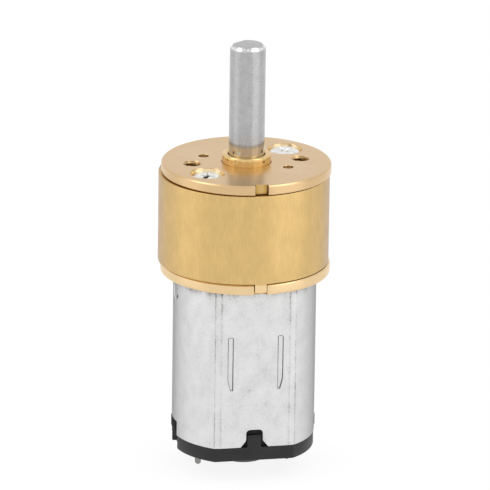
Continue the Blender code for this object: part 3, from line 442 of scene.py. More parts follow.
def finish_piece(thing, node, finish, body="housing", sharp=SHARP):
    """Smooths the piece, gives it its finish, and puts it in the CAD node's place."""
    thing.data.shade_smooth()
    thing.data.set_sharp_from_angle(angle=sharp)
    normals = thing.modifiers.new("even_normals", "WEIGHTED_NORMAL")
    normals.keep_sharp = True
    thing.data.materials.clear()
    thing.data.materials.append(finish)
    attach(thing, body)
    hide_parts(node)


def middle_of(node):
    """Where a CAD node's upright axis stands."""
    low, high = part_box(node)
    return ((low.x + high.x) / 2, (low.y + high.y) / 2, 0)


# Finishes


class Finish:
    """One procedural material, built up from short calls. The sizes of grains and the depths of
    bumps are in millimetres."""

    def __init__(self, name, **constants):
        self.material = bpy.data.materials.new(name)
        self.material.use_nodes = True
        self.tree = self.material.node_tree
        self.shader = self.tree.nodes["Principled BSDF"]
        for socket, value in constants.items():
            title = socket.replace("_", " ").title().replace("Ior", "IOR")
            self.shader.inputs[title].default_value = value

    def node(self, kind, inputs, **settings):
        made = self.tree.nodes.new(kind)
        for name, value in settings.items():
            setattr(made, name, value)
        for name, value in inputs.items():
            if isinstance(value, bpy.types.NodeSocket):
                self.tree.links.new(value, made.inputs[name])
            else:
                made.inputs[name].default_value = value
        return made

    def point(self):
        """Where a point lies in the CAD frame, in metres."""
        return self.node("ShaderNodeTexCoord", {}).outputs["Object"]

    def noise(self, size, stretch=(1, 1, 1), detail=2.0):
        """Noise whose grains have this size, drawn out along the axes by stretch."""
        scale = tuple(1 / (size * MM * draw) for draw in stretch)
        mapped = self.node("ShaderNodeMapping", {"Vector": self.point(), "Scale": scale})
        inputs = {"Vector": mapped.outputs["Vector"], "Scale": 1.0, "Detail": detail}
        return self.node("ShaderNodeTexNoise", inputs).outputs["Fac"]

    def rings(self, size):
        """Noise that only changes with the distance from the Z axis, as turning marks do."""
        inputs = {"W": self.radius(), "Scale": 1 / (size * MM), "Detail": 2.0}
        return self.node("ShaderNodeTexNoise", inputs, noise_dimensions="1D").outputs["Fac"]

    def place(self, axis):
        """Where a point lies along one axis, in metres."""
        return self.node("ShaderNodeSeparateXYZ", {"Vector": self.point()}).outputs[axis]

    def radius(self, x=0.0, y=0.0):
        """How far a point is from the nearest of the four upright lines at +-x, +-y, in metres."""
        flat = self.vector("MULTIPLY", self.point(), (1.0, 1.0, 0.0)).outputs["Vector"]
        quarter = self.vector("ABSOLUTE", flat).outputs["Vector"]
        return self.vector("DISTANCE", quarter, (abs(x), abs(y), 0.0)).outputs["Value"]

    def side_distance(self, y, z):
        """How far a point is from the line along X at y, z, in metres."""
        flat = self.vector("MULTIPLY", self.point(), (0.0, 1.0, 1.0)).outputs["Vector"]
        return self.vector("DISTANCE", flat, (0.0, y, z)).outputs["Value"]

    def vector(self, operation, *values):
        inputs = dict(enumerate(values))
        return self.node("ShaderNodeVectorMath", inputs, operation=operation)

    def math(self, operation, *values):
        inputs = dict(enumerate(values))
        return self.node("ShaderNodeMath", inputs, operation=operation).outputs["Value"]

    def plus(self, first, *others):
        for other in others:
            first = self.math("ADD", first, other)
        return first

    def minus(self, first, second):
        return self.math("SUBTRACT", first, second)

    def times(self, first, second):
        return self.math("MULTIPLY", first, second)

    def away_from(self, value, middle):
        """How far the value is from its middle, either way."""
        return self.math("ABSOLUTE", self.minus(value, middle))

    def line(self, value, middle, reach, depth):
        """A soft line: this deep where the value is at its middle, and nothing past its reach."""
        return self.spread(self.away_from(value, middle), depth, 0.0, 0.0, reach)

    def within(self, value, reach, fade=FADE):
        """1 where the value is under its reach, and 0 once it is past it by the fade."""
        return self.spread(value, 1.0, 0.0, reach, reach + fade)

    def blend(self, first, second, share):
        """Two values mixed, with this share of the second."""
        inputs = {0: share, 2: first, 3: second}
        return self.node("ShaderNodeMix", inputs, data_type="FLOAT").outputs[0]

    def spread(self, value, low, high, start=0.3, end=0.7):
        """The value's range from start to end, stretched to run from low to high."""
        inputs = {
            "Value": value,
            "From Min": start,
            "From Max": end,
            "To Min": low,
            "To Max": high,
        }
        return self.node("ShaderNodeMapRange", inputs).outputs["Result"]

    def colours(self, value, *stops):
        """A colour that runs through (position, (red, green, blue)) stops."""
        ramp = self.node("ShaderNodeValToRGB", {"Fac": value})
        elements = ramp.color_ramp.elements
        while len(elements) < len(stops):
            elements.new(0.5)
        for element, (position, colour) in zip(elements, stops):
            element.position = position
            element.color = (*colour, 1.0)
        self.tree.links.new(ramp.outputs["Color"], self.shader.inputs["Base Color"])

    def roughness(self, value):
        self.tree.links.new(value, self.shader.inputs["Roughness"])

    def mottle(self, value, tones, matt, reach=0.15):
        """Runs the colour from one tone to the other, and the roughness along with it."""
        self.colours(value, (0.5 - reach, tones[0]), (0.5 + reach, tones[1]))
        self.roughness(self.spread(value, *matt))

    def bump(self, height, depth):
        """Relief of this depth."""
        inputs = {"Height": height, "Distance": depth * MM, "Strength": 1.0}
        made = self.node("ShaderNodeBump", inputs)
        self.tree.links.new(made.outputs["Normal"], self.shader.inputs["Normal"])


def shades(colour, amount):
    """A darker and a lighter version of a colour."""
    darker = tuple(channel * (1 - amount) for channel in colour)
    lighter = tuple(min(1.0, channel * (1 + amount)) for channel in colour)
    return darker, lighter


def plate_brass(name, colour):
    """Turned brass with fine turning marks and faint clouds: polished and with a painted highlight
    on the walls of the counterbores, and painted shade with tarnish in the other holes and at the
    sides of the notch."""
    finish = Finish(name, metallic=1.0)
    darker, lighter = shades(colour, 0.06)
    grain = finish.noise(0.07, detail=3.0)
    marks = finish.blend(finish.rings(0.05), grain, 0.6)
    both = finish.blend(marks, finish.noise(1.2), 0.4)
    height = finish.place("Z")
    bore = finish.within(finish.radius(*middle_of(GEARBOX_SCREWS[0])[:2]), COUNTERBORE_REACH)
    # painted highlight: below the top face, a counterbore's wall is lifted towards a pale brass
    wall = finish.times(bore, finish.spread(height, 0.0, 0.3, *COUNTERBORE_HIGHLIGHT_Z))
    mount = finish.within(finish.radius(MOUNT_HOLE_X), MOUNT_HOLE_REACH)
    bore_shade_shift = finish.times(bore, COUNTERBORE_SHADE_SHIFT)
    level = finish.plus(height, finish.plus(bore_shade_shift, finish.times(mount, MOUNT_HOLE_SHADE_SHIFT)))
    # painted shade with tarnish: darker with depth in the holes, then paler again further down
    shade = finish.spread(level, 0.0, 0.6, *HOLE_DARKER_Z)
    paler = finish.spread(level, 0.0, 0.35, *HOLE_PALER_Z)
    in_hole = finish.within(finish.radius(), HOLE_LIMIT)
    shade_and_tarnish = finish.times(finish.minus(shade, paler), in_hole)
    from_middle = finish.away_from(finish.place("X"), NOTCH_X)
    floor_y = NOTCH_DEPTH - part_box("front_plate")[1].x
    in_notch = finish.times(
        finish.math("LESS_THAN", from_middle, NOTCH_WIDTH / 2 + NOTCH_MARGIN),
        finish.math("LESS_THAN", finish.place("Y"), floor_y + NOTCH_MARGIN),
    )
    # painted shade with stain: darker towards the side walls of the notch
    notch_shade_and_stain = finish.spread(from_middle, 0.24, 0.48, NOTCH_SHADE_START, NOTCH_WIDTH / 2)
    shade_and_tarnish = finish.plus(shade_and_tarnish, finish.times(notch_shade_and_stain, in_notch))
    finish.colours(
        finish.minus(finish.plus(finish.spread(both, 0.5, 0.7), wall), shade_and_tarnish),
        (0.0, TARNISH_AND_SHADE),
        (0.3, SHADED_STAINED_BRASS),
        (0.5, darker),
        (0.7, lighter),
        (1.0, BRASS_HIGHLIGHT),
    )
    finish.roughness(finish.blend(finish.spread(both, 0.22, 0.3), 0.14, bore))
    finish.bump(grain, 0.0012)
    return finish.material


def sleeve_brass():
    """Drawn brass tube: satin, with a fine grain along its length, soft clouds and a rubbed,
    paler tongue."""
    finish = Finish("sleeve_brass", metallic=1.0, specular_tint=(0.72, 0.75, 0.88, 1.0))
    colour = (0.67, 0.46, 0.19)
    darker, lighter = shades(colour, 0.08)
    streaks = finish.noise(0.07, (1, 1, 12), 3.0)
    both = finish.blend(streaks, finish.noise(0.9, (1, 1, 1.6), 3.0), 0.45)
    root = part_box("gearbox_sleeve")[0].z + TONGUE_LENGTH
    rubbed = finish.spread(finish.place("Z"), 0.0, 0.5, root, root - TONGUE_RUB)
    tone = finish.plus(both, rubbed)
    finish.colours(tone, (0.35, darker), (0.5, colour), (0.65, lighter), (1.0, RUBBED_BRASS))
    finish.roughness(finish.spread(both, 0.36, 0.28))
    finish.bump(streaks, 0.0012)
    return finish.material


def bush_brass():
    """Deep yellow brass, polished."""
    finish = Finish("bush_brass", metallic=1.0)
    finish.mottle(finish.noise(0.3), shades((0.76, 0.53, 0.23), 0.06), (0.08, 0.16))
    finish.bump(finish.rings(0.04), 0.0004)
    return finish.material


def gear_brass():
    """Hobbed brass with a thin film of grease."""
    finish = Finish("gear_brass", metallic=1.0, coat_weight=0.4, coat_roughness=0.2)
    finish.mottle(finish.noise(0.5), shades((0.75, 0.52, 0.22), 0.12), (0.22, 0.4))
    finish.bump(finish.noise(0.06, (1, 1, 12)), 0.002)
    return finish.material


def tinned_brass():
    """Dull tin plating: fine grain, a little drawn out sideways, and soft clouds."""
    finish = Finish("tinned_brass", metallic=1.0, specular_tint=(0.8, 0.8, 0.8, 1.0))
    grain = finish.noise(0.07, (1.5, 1.5, 1), 3.0)
    both = finish.blend(grain, finish.noise(0.5, (1, 1, 2)), 0.35)
    finish.mottle(both, shades((0.27, 0.265, 0.26), 0.12), (0.2, 0.35))
    finish.bump(grain, 0.0012)
    return finish.material


def shaft_steel():
    """Ground steel: matt and speckled outside, with a painted highlight on the chamfer at the tip,
    polished where it runs in the bush, and brown with old oil down in the axle holes."""
    finish = Finish("shaft_steel", metallic=1.0)
    darker, lighter = shades((0.435, 0.435, 0.44), 0.2)
    grain = finish.noise(0.075, (1.3, 1.3, 1), 3.0)
    both = finish.blend(grain, finish.noise(0.5, (1, 1, 2)), 0.3)
    height = finish.place("Z")
    outside = finish.spread(height, 0.0, 1.0, *JOURNAL_TONE_Z)
    unpolished = finish.spread(height, 0.0, 1.0, *JOURNAL_MATT_Z)
    # painted highlight: a pale band round the chamfer at the tip, made patchy by noise
    reach = SHAFT_TIP_CHAMFER * 0.6
    chamfer_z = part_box("output_shaft")[1].z - reach
    chamfer_highlight = finish.line(height, chamfer_z, reach, 0.7)
    highlight_patches = finish.spread(finish.noise(0.2), 0.3, 1.0, 0.4, 0.55)
    clean = finish.spread(height, 0.0, 0.15, *OIL_Z)
    tone = finish.blend(clean, finish.spread(both, 0.35, 0.6), outside)
    finish.colours(
        finish.plus(tone, finish.times(chamfer_highlight, highlight_patches)),
        (0.0, OIL_STAIN),
        (0.15, JOURNAL_STEEL),
        (0.35, darker),
        (0.6, lighter),
        (1.0, STEEL_HIGHLIGHT),
    )
    finish.roughness(finish.blend(0.1, finish.spread(both, 0.22, 0.3), unpolished))
    finish.bump(grain, 0.0015)
    return finish.material


def nickel_plate():
    """Bright nickel plating with small ripples, and painted shade with dirt in the cross recess.
    """
    finish = Finish("nickel_plate", metallic=1.0)
    darker, lighter = shades((0.82, 0.81, 0.79), 0.18)
    ripples = finish.noise(0.2)
    from_axis = finish.radius(*middle_of(GEARBOX_SCREWS[0])[:2])
    # painted shade with dirt: darker with depth near the middle of the cross recess
    depth = finish.spread(finish.place("Z"), 0.0, 1.0, *RECESS_DIRT_SHADE_Z)
    dirt_and_shade = finish.times(finish.within(from_axis, RECESS_DIRT_SHADE_REACH, RECESS_DIRT_SHADE_FADE), depth)
    tone = finish.minus(finish.spread(ripples, 0.6, 1.0), dirt_and_shade)
    finish.colours(tone, (0.0, DIRT_AND_SHADE), (0.6, darker), (1.0, lighter))
    finish.roughness(finish.spread(ripples, 0.05, 0.12))
    finish.bump(ripples, 0.03)
    return finish.material


def can_steel():
    """Drawn and zinc-plated sheet: satin and faintly cloudy, with specks, painted shade along the
    creases, a painted shadow under the gearbox and painted shade in the pinhole."""
    finish = Finish("can_steel", metallic=1.0, specular_tint=(0.2, 0.2, 0.2, 1.0))
    across = finish.place("X")
    clouds = finish.noise(0.9, (1, 1, 1.4), 3.0)
    specks = finish.noise(0.08, (1, 1, 1.5))
    # painted shadow: darker towards the can's top, under the gearbox
    gearbox_shadow = finish.spread(finish.place("Z"), 0.0, 0.26, *GEARBOX_SHADOW_Z)
    # painted shade: dark lines along the creases, made patchy by this noise
    crease_shade_patches = finish.spread(finish.noise(0.3, (1, 1, 12), 3.0), 0.55, 1.0, 0.35, 0.6)
    side = finish.math("ABSOLUTE", across)
    round_crease_shade = finish.line(side, CREASE_ROUND_X, CREASE_SHADE_WIDTH, 0.3)
    flat_crease_shade = finish.line(side, CREASE_FLAT_X, CREASE_SHADE_WIDTH * 2, 0.2)
    crease_shade = finish.times(finish.plus(round_crease_shade, flat_crease_shade), crease_shade_patches)
    # painted shade: the pinhole and a faint ring round it are coloured black
    from_pinhole = finish.side_distance(PINHOLE_Y, PINHOLE_Z)
    dark = finish.within(from_pinhole, PINHOLE_DIAMETER / 2, PINHOLE_SHADE_FADE)
    dark = finish.times(dark, finish.math("LESS_THAN", across, 0.0))
    finish.colours(
        finish.minus(finish.blend(clouds, specks, 0.55), finish.plus(crease_shade, gearbox_shadow, dark)),
        (0.0, (0.02, 0.02, 0.02)),
        (0.1, (0.22, 0.20, 0.18)),
        (0.36, (0.65, 0.65, 0.65)),
        (0.5, (0.715, 0.715, 0.715)),
        (0.64, (0.76, 0.76, 0.76)),
    )
    finish.roughness(finish.spread(clouds, 0.46, 0.38))
    finish.bump(specks, 0.0015)
    return finish.material


def core_steel():
    """A stack of thin steel laminations, seen on edge."""
    finish = Finish("core_steel", metallic=1.0)
    sheets = finish.noise(0.2, (1000, 1000, 1), 0.0)
    finish.mottle(sheets, shades((0.40, 0.40, 0.42), 0.15), (0.4, 0.6), 0.1)
    finish.bump(sheets, 0.02)
    return finish.material


def natural_nylon():
    """Moulded nylon with a fine even grain and a faint flow in its tone."""
    finish = Finish("natural_nylon", metallic=0.0, specular_ior_level=0.2)
    flow = finish.noise(1.5, (1, 1, 0.6), 3.0)
    finish.mottle(flow, shades((0.80, 0.78, 0.72), 0.12), (0.4, 0.5))
    finish.bump(finish.noise(0.07), 0.002)
    return finish.material


def charcoal_plastic():
    """Charcoal plastic with a fine even grain; the blocks at the cap's sides are matt and carry
    painted shade.
    """
    finish = Finish("charcoal_plastic", metallic=0.0, specular_ior_level=0.28)
    darker, lighter = shades((0.019, 0.019, 0.02), 0.12)
    flow = finish.noise(1.5, (1, 1, 0.6), 3.0)
    across = finish.math("ABSOLUTE", finish.place("X"))
    along = finish.math("ABSOLUTE", finish.place("Y"))
    side = finish.spread(across, 0.0, 1.0, CAP_RELIEF_X, CAP_RELIEF_X + FADE)
    matt = finish.times(side, finish.within(along, CAP_BLOCK_WIDTH / 2, BLOCK_FADE))
    # painted shade: the side blocks are coloured darker as well as made rougher
    tone = finish.minus(flow, finish.times(matt, 0.4))
    finish.colours(tone, (0.0, (0.004, 0.004, 0.004)), (0.35, darker), (0.65, lighter))
    finish.roughness(finish.blend(finish.spread(flow, 0.4, 0.52), 1.0, matt))
    finish.bump(finish.noise(0.07), 0.004)
    return finish.material


def ferrite():
    """Sintered magnet: dull, dark and slightly pitted."""
    finish = Finish("ferrite", metallic=0.0)
    grain = finish.noise(0.12, detail=4.0)
    finish.mottle(grain, ((0.07, 0.07, 0.075), (0.14, 0.14, 0.15)), (0.7, 0.5))
    finish.bump(grain, 0.01)
    return finish.material


def enamelled_copper():
    """Copper under clear enamel: fine wire side by side on the windings."""
    finish = Finish("enamelled_copper", metallic=1.0, coat_weight=0.5, coat_roughness=0.1)
    wires = finish.noise(0.1, (1, 1, 30), 0.0)
    finish.mottle(wires, shades((0.75, 0.36, 0.18), 0.25), (0.35, 0.2), 0.1)
    finish.bump(wires, 0.02)
    return finish.material


def sintered_bronze():
    """Porous bronze, dark with oil."""
    finish = Finish("sintered_bronze", metallic=1.0)
    grain = finish.noise(0.09, detail=4.0)
    finish.mottle(grain, ((0.40, 0.26, 0.15), (0.62, 0.44, 0.27)), (0.55, 0.35))
    finish.bump(grain, 0.008)
    return finish.material


def make_finishes():
    return {
        "plate_brass": plate_brass("plate_brass", (0.68, 0.47, 0.25)),
        "rear_brass": plate_brass("rear_brass", (0.79, 0.58, 0.325)),
        "sleeve_brass": sleeve_brass(),
        "bush_brass": bush_brass(),
        "gear_brass": gear_brass(),
        "shaft_steel": shaft_steel(),
        "screw_steel": nickel_plate(),
        "can_steel": can_steel(),
        "core_steel": core_steel(),
        "black_plastic": charcoal_plastic(),
        "white_nylon": natural_nylon(),
        "magnet": ferrite(),
        "copper": enamelled_copper(),
        "bronze": sintered_bronze(),
        "terminal_metal": tinned_brass(),
    }


# Output shaft and bush


def make_output_shaft(finishes):
    low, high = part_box("output_shaft")
    gear_low, gear_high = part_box("output_gear")
    radius = high.x
    shoulder, gear_end = gear_high.z + SEAT_GAP, gear_low.z + SEAT_GAP
    seat_radius, tail_radius = radius - GEAR_SEAT_STEP, SHAFT_TAIL_DIAMETER / 2
    corners = [
        (0, high.z, 0),
        (radius - SHAFT_TIP_CHAMFER, high.z, EDGE_SMALL),
        (radius, high.z - SHAFT_TIP_CHAMFER, EDGE_WIDE),
        (radius, shoulder, 0),
        (seat_radius, shoulder, 0),
        (seat_radius, gear_end, 0),
        (tail_radius, gear_end, 0),
        (tail_radius, low.z, 0),
        (0, low.z, 0),
    ]
    shaft = turned("output_shaft_fine", rounded(corners))
    flat = radius - D_FLAT_DEPTH
    cutter = block("flat_cutter", (flat, -radius * 2, D_FLAT_END_Z), (radius * 3, radius * 2, 1))
    cutter.data.transform(Matrix.Rotation(D_FLAT_ANGLE, 4, "Z"))
    cut(shaft, cutter)
    under_tip = high.z - SHAFT_TIP_CHAMFER * 2
    soften(shaft, EDGE_TINY, where=lambda middle: 0 < middle.z < under_tip)
    finish = finishes["shaft_steel"]
    finish_piece(shaft, "output_shaft", finish, "output", FLAT_SHARP)


def make_output_bush(finishes):
    low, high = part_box("output_bush")
    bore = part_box("output_shaft")[1].x + BUSH_CLEARANCE
    corners = [
        (bore, high.z, BUSH_EDGE),
        (high.x, high.z, BUSH_EDGE),
        (high.x, low.z, EDGE_SMALL),
        (bore, low.z, EDGE_SMALL),
    ]
    bush = turned_ring("output_bush_fine", rounded(corners))
    finish_piece(bush, "output_bush", finishes["bush_brass"])


# Gearbox case


def round_cutter(name, mouth, top, bottom, place=(0, 0, 0), edge=0.0, sides=SMALL):
    """Cuts a round hole. With an edge, its upper mouth at top is flared by that much."""
    radius = mouth / 2
    wall = [(radius, top + CUT)]
    if edge > 0:
        wall = [(radius + edge + CUT, top + CUT), (radius, top - edge)]
    profile = [(0, top + CUT), *wall, (radius, bottom - CUT), (0, bottom - CUT)]
    return turned(name, profile, sides, place)


def screw_hole_cutter(top, bottom, node):
    mouth = SCREW_SHANK_DIAMETER + 2 * SEAT_GAP
    return round_cutter("screw_cutter", mouth, top, bottom, middle_of(node))


def plate_disc(name, node, low_rounding):
    """A gearbox plate with a chamfer above, a rounded edge below, its notch and its two axle
    holes."""
    low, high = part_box(node)
    radius = high.x
    corners = [
        (0, high.z, 0),
        (radius - PLATE_CHAMFER, high.z, EDGE_SMALL),
        (radius, high.z - PLATE_CHAMFER, EDGE_SMALL),
        (radius, low.z, low_rounding),
        (0, low.z, 0),
    ]
    plate = turned(name, rounded(corners), FINE)
    notch_floor = -(radius - NOTCH_DEPTH)
    left, right = NOTCH_X - NOTCH_WIDTH / 2, NOTCH_X + NOTCH_WIDTH / 2
    outline = [
        (left, notch_floor, NOTCH_ROUNDING),
        (right, notch_floor, NOTCH_ROUNDING),
        (right, -radius - CUT, 0),
        (left, -radius - CUT, 0),
    ]
    cutters = [prism("notch_cutter", rounded(outline), high.z + CUT, low.z - CUT)]
    for pin in AXLE_PINS:
        pin_low, pin_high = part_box(pin)
        hole = pin_high.x - pin_low.x + 2 * SEAT_GAP
        place = middle_of(pin)
        cutters.append(round_cutter("axle_cutter", hole, high.z, low.z, place, EDGE_TINY))
    cut(plate, *cutters)
    soften(plate, NOTCH_EDGE, where=lambda middle: middle.y < notch_floor + NEAR)
    return plate


def thread_cutter(name, core, top, bottom, place):
    """A helical thread's cutter: its radius swells from the core and back once each pitch."""
    steps_per_pitch = 8
    rings = []
    for row in range(math.ceil((top - bottom) / THREAD_PITCH * steps_per_pitch) + 1):
        height = top - row * THREAD_PITCH / steps_per_pitch
        ring = []
        for k in range(SMALL):
            turn = k / SMALL
            phase = (height / THREAD_PITCH - turn) % 1.0
            radius = core / 2 + THREAD_DEPTH * (1 - abs(2 * phase - 1))
            ring.append(Vector(place) + polar(radius, turn * 2 * math.pi, height))
        rings.append(ring)
    return loft(name, rings)


def counterbore_cutter(top, bottom, node):
    """Cuts a screw's counterbore, narrower at its foot, and the hole for its shank."""
    shank = SCREW_SHANK_DIAMETER / 2 + SEAT_GAP
    mouth, foot = COUNTERBORE_DIAMETER / 2, COUNTERBORE_FOOT / 2
    floor = top - COUNTERBORE_DEPTH
    corners = [
        (0, top + CUT, 0),
        (mouth + COUNTERBORE_EDGE, top + CUT, 0),
        (mouth + COUNTERBORE_EDGE, top, 0),
        (mouth, top, COUNTERBORE_EDGE),
        (foot, floor, 0),
        (shank, floor, 0),
        (shank, bottom - CUT, 0),
        (0, bottom - CUT, 0),
    ]
    return turned("counterbore_cutter", rounded(corners), MEDIUM, middle_of(node))


def cut_mount_hole(plate, top, bottom, place):
    """Cuts a threaded hole with a chamfer at each mouth."""
    radius = MOUNT_HOLE_CORE / 2
    wide = radius + MOUNT_HOLE_CHAMFER + CUT
    for mouth, inward in ((top, -1), (bottom, 1)):
        outer, inner = mouth - inward * CUT, mouth + inward * (MOUNT_HOLE_CHAMFER + OVERLAP)
        cone = [(0, outer), (wide, outer), (radius - OVERLAP, inner), (0, inner)]
        cut(plate, turned("chamfer_cutter", cone, SMALL, place))
    top, bottom = top + OVERLAP, bottom - OVERLAP
    cut(plate, thread_cutter("thread_cutter", MOUNT_HOLE_CORE, top, bottom, place))


def make_front_plate(finishes):
    low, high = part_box("front_plate")
    plate = plate_disc("front_plate_fine", "front_plate", PLATE_CHAMFER)
    hole = 2 * (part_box("output_bush")[1].x + SEAT_GAP)
    bush = round_cutter("bush_cutter", hole, high.z, low.z, edge=EDGE_TINY, sides=MEDIUM)
    cut(plate, bush, *(counterbore_cutter(high.z, low.z, node) for node in GEARBOX_SCREWS))
    for side in (-1, 1):
        cut_mount_hole(plate, high.z, low.z, (side * MOUNT_HOLE_X, 0, 0))
    finish = finishes["plate_brass"]
    finish_piece(plate, "front_plate", finish, sharp=FLAT_SHARP)


def countersink_cutter(top, bottom, node):
    """Cuts the countersink of a motor screw and the hole for its shank."""
    screw_low, screw_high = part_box(node)
    head = (screw_high.x - screw_low.x) / 2 + SEAT_GAP
    shank = SCREW_SHANK_DIAMETER / 2 + SEAT_GAP
    profile = [
        (0, top + CUT),
        (head, top + CUT),
        (head, screw_high.z),
        (shank, screw_high.z - COUNTERSINK_DEPTH),
        (shank, bottom - CUT),
        (0, bottom - CUT),
    ]
    return turned("countersink_cutter", profile, SMALL, middle_of(node))


def make_rear_plate(finishes):
    low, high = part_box("rear_plate")
    plate = plate_disc("rear_plate_fine", "rear_plate", REAR_PLATE_ROUNDING)
    hole = CAN_BOSS_DIAMETER + 2 * SEAT_GAP
    cutters = [round_cutter("boss_cutter", hole, high.z, low.z, sides=MEDIUM)]
    cutters += [screw_hole_cutter(high.z, low.z, node) for node in GEARBOX_SCREWS]
    cutters += [countersink_cutter(high.z, low.z, node) for node in MOTOR_SCREWS]
    cut(plate, *cutters)
    finish_piece(plate, "rear_plate", finishes["rear_brass"], sharp=FLAT_SHARP)


def make_sleeve(finishes):
    """The tube between the plates, with the tongue that locks into the rear plate's notch."""
    low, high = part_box("gearbox_sleeve")
    outer = (high.x - low.x) / 2
    inner = outer - SLEEVE_WALL
    bottom = low.z + TONGUE_LENGTH
    corners = [
        (outer, high.z, SLEEVE_EDGE),
        (outer, bottom, SLEEVE_EDGE),
        (inner, bottom, SLEEVE_EDGE),
        (inner, high.z, SLEEVE_EDGE),
    ]
    place = ((low.x + high.x) / 2, 0, 0)
    sleeve = turned_ring("gearbox_sleeve_fine", rounded(corners, 3), FINE, place)
    steps = 8
    outline = []
    for radius, order in ((outer, 1), (inner, -1)):
        reach = math.asin(TONGUE_WIDTH / 2 / radius)
        for k in range(steps + 1):
            point = polar(radius, -math.pi / 2 + order * reach * (2 * k / steps - 1))
            outline.append((point.x + NOTCH_X, point.y))
    join(sleeve, prism("tongue", outline, bottom + TONGUE_ROOT, low.z))
    finish_piece(sleeve, "gearbox_sleeve", finishes["sleeve_brass"])


def cross_outline(width, length):
    arm, half = width / 2, length / 2
    corner = [(half, -arm), (half, arm), (arm, arm), (arm, half), (-arm, half), (-arm, arm)]
    return corner + [(-x, -y) for x, y in corner]


def cross_cutter(name, top, place, turn):
    """A cross recess that narrows towards its bottom."""
    rings = []
    for height, width, length in (
        (top + CUT, CROSS_ARM_WIDTH, CROSS_ARM_LENGTH),
        (top, CROSS_ARM_WIDTH, CROSS_ARM_LENGTH),
        (top - CROSS_DEPTH, CROSS_FOOT_WIDTH, CROSS_FOOT_LENGTH),
    ):
        rings.append([(x, y, height) for x, y in cross_outline(width, length)])
    cutter = loft(name, rings)
    cutter.data.transform(Matrix.Translation(place) @ Matrix.Rotation(turn, 4, "Z"))
    return cutter


def make_gearbox_screws(finishes):
    for node, turn, rise in zip(GEARBOX_SCREWS, SCREW_TURNS, SCREW_RISES):
        low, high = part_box(node)
        head, shank = (high.x - low.x) / 2, SCREW_SHANK_DIAMETER / 2
        top, under_head = high.z + rise, high.z - SCREW_HEAD_HEIGHT
        corners = [
            (0, top, 0),
            (head * SCREW_CROWN_START, top, SCREW_CROWN_ROUNDING),
            (head, top - SCREW_CROWN, EDGE_WIDE),
            (head, under_head, EDGE_TINY),
            (shank, under_head, 0),
            (shank, low.z, 0),
            (0, low.z, 0),
        ]
        place = middle_of(node)
        screw = turned(f"{node}_fine", rounded(corners), MEDIUM, place)
        cut(screw, cross_cutter("recess_cutter", top, place, turn))
        soften(screw, CROSS_EDGE, where=lambda middle: middle.z > under_head + NEAR)
        finish_piece(screw, node, finishes["screw_steel"])


def make_axle_pins(finishes):
    for node in AXLE_PINS:
        low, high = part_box(node)
        radius = (high.x - low.x) / 2
        corners = [
            (0, high.z, 0),
            (radius - AXLE_CHAMFER, high.z, AXLE_ROUNDING),
            (radius, high.z - AXLE_CHAMFER, EDGE_TINY),
            (radius, low.z, EDGE_TINY),
            (0, low.z, 0),
        ]
        pin = turned(f"{node}_fine", rounded(corners), SMALL, middle_of(node))
        finish_piece(pin, node, finishes["shaft_steel"])


# Motor can


def mirrored_outline(radius, reach, *corners):
    """A closed outline: a round as far as an angle and then these corners, mirrored over both
    axes."""
    steps = 24
    quarter = [(p.x, p.y, 0) for p in (polar(radius, reach * k / steps) for k in range(1, steps))]
    quarter += corners
    upper = quarter + [(-x, y, r) for x, y, r in reversed(quarter)]
    outline = [(radius, 0, 0)] + upper + [(-radius, 0, 0)]
    return outline + [(x, -y, r) for x, y, r in reversed(upper)]


def can_outline(inset):
    """The can's outline, moved in by inset: rounds at the sides, flats at -Y and +Y, and a
    narrow facet with two soft creases between each flat and round."""
    radius = CAN_DIAMETER / 2 - inset
    scale = radius * 2 / CAN_DIAMETER
    round_x = CREASE_ROUND_X * scale
    reach = math.acos(round_x / radius)
    at_round = (round_x, radius * math.sin(reach), CREASE_RADIUS)
    at_flat = (CREASE_FLAT_X * scale, CAN_FLATS / 2 - inset, CREASE_RADIUS)
    return rounded(mirrored_outline(radius, reach, at_round, at_flat))


def can_shell():
    """The can's walls, from its closed top over the shoulder and down, then up inside."""
    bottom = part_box("motor_can")[0].z
    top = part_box("rear_plate")[0].z - SEAT_GAP
    steps = 6
    levels = []
    for k in range(steps + 1):
        angle = math.pi / 2 * k / steps
        inset = CAN_SHOULDER * (1 - math.sin(angle))
        levels.append((inset, top - CAN_SHOULDER * (1 - math.cos(angle))))
    levels += [
        (0, bottom + CAN_EDGE),
        (CAN_EDGE * ARC_MIDDLE, bottom + CAN_EDGE * ARC_MIDDLE),
        (CAN_EDGE, bottom),
        (CAN_WALL - CAN_EDGE, bottom),
        (CAN_WALL, bottom + CAN_EDGE),
        (CAN_WALL, top - CAN_WALL),
    ]
    return skinned("motor_can_fine", can_outline, levels)


def end_notch_outline(low_z):
    """The (x, z) outline of the notch in the can's end: rounded top, flared mouth."""
    top = low_z + NOTCH_HEIGHT
    half, mouth = NOTCH_TOP_WIDTH / 2, NOTCH_MOUTH_WIDTH / 2
    right = [
        (half, top, NOTCH_CORNER),
        (half, low_z + NOTCH_FLARE_HEIGHT, NOTCH_CORNER),
        (mouth, low_z, 0),
        (mouth, low_z - CUT, 0),
    ]
    return rounded(right + [(-x, z, r) for x, z, r in reversed(right)])


def groove_outline(side, inset):
    """The (x, z) outline of a groove, from the foot of its inner line up, over its top and
    down its outer line, which slants inwards at its foot."""
    inner = side * (GROOVE_X - GROOVE_WIDTH / 2 + inset)
    outer = side * (GROOVE_X + GROOVE_WIDTH / 2 - inset)
    foot = side * (GROOVE_X - GROOVE_WIDTH / 2 + GROOVE_END_WIDTH - inset)
    top = GROOVE_TOP_Z - inset
    corner = GROOVE_CORNER - inset
    return rounded(
        [
            (inner, GROOVE_END_Z, 0),
            (inner, top, corner),
            (outer, top, corner),
            (outer, GROOVE_END_Z + GROOVE_SLANT, GROOVE_BEND),
            (foot, GROOVE_END_Z, 0),
        ]
    )


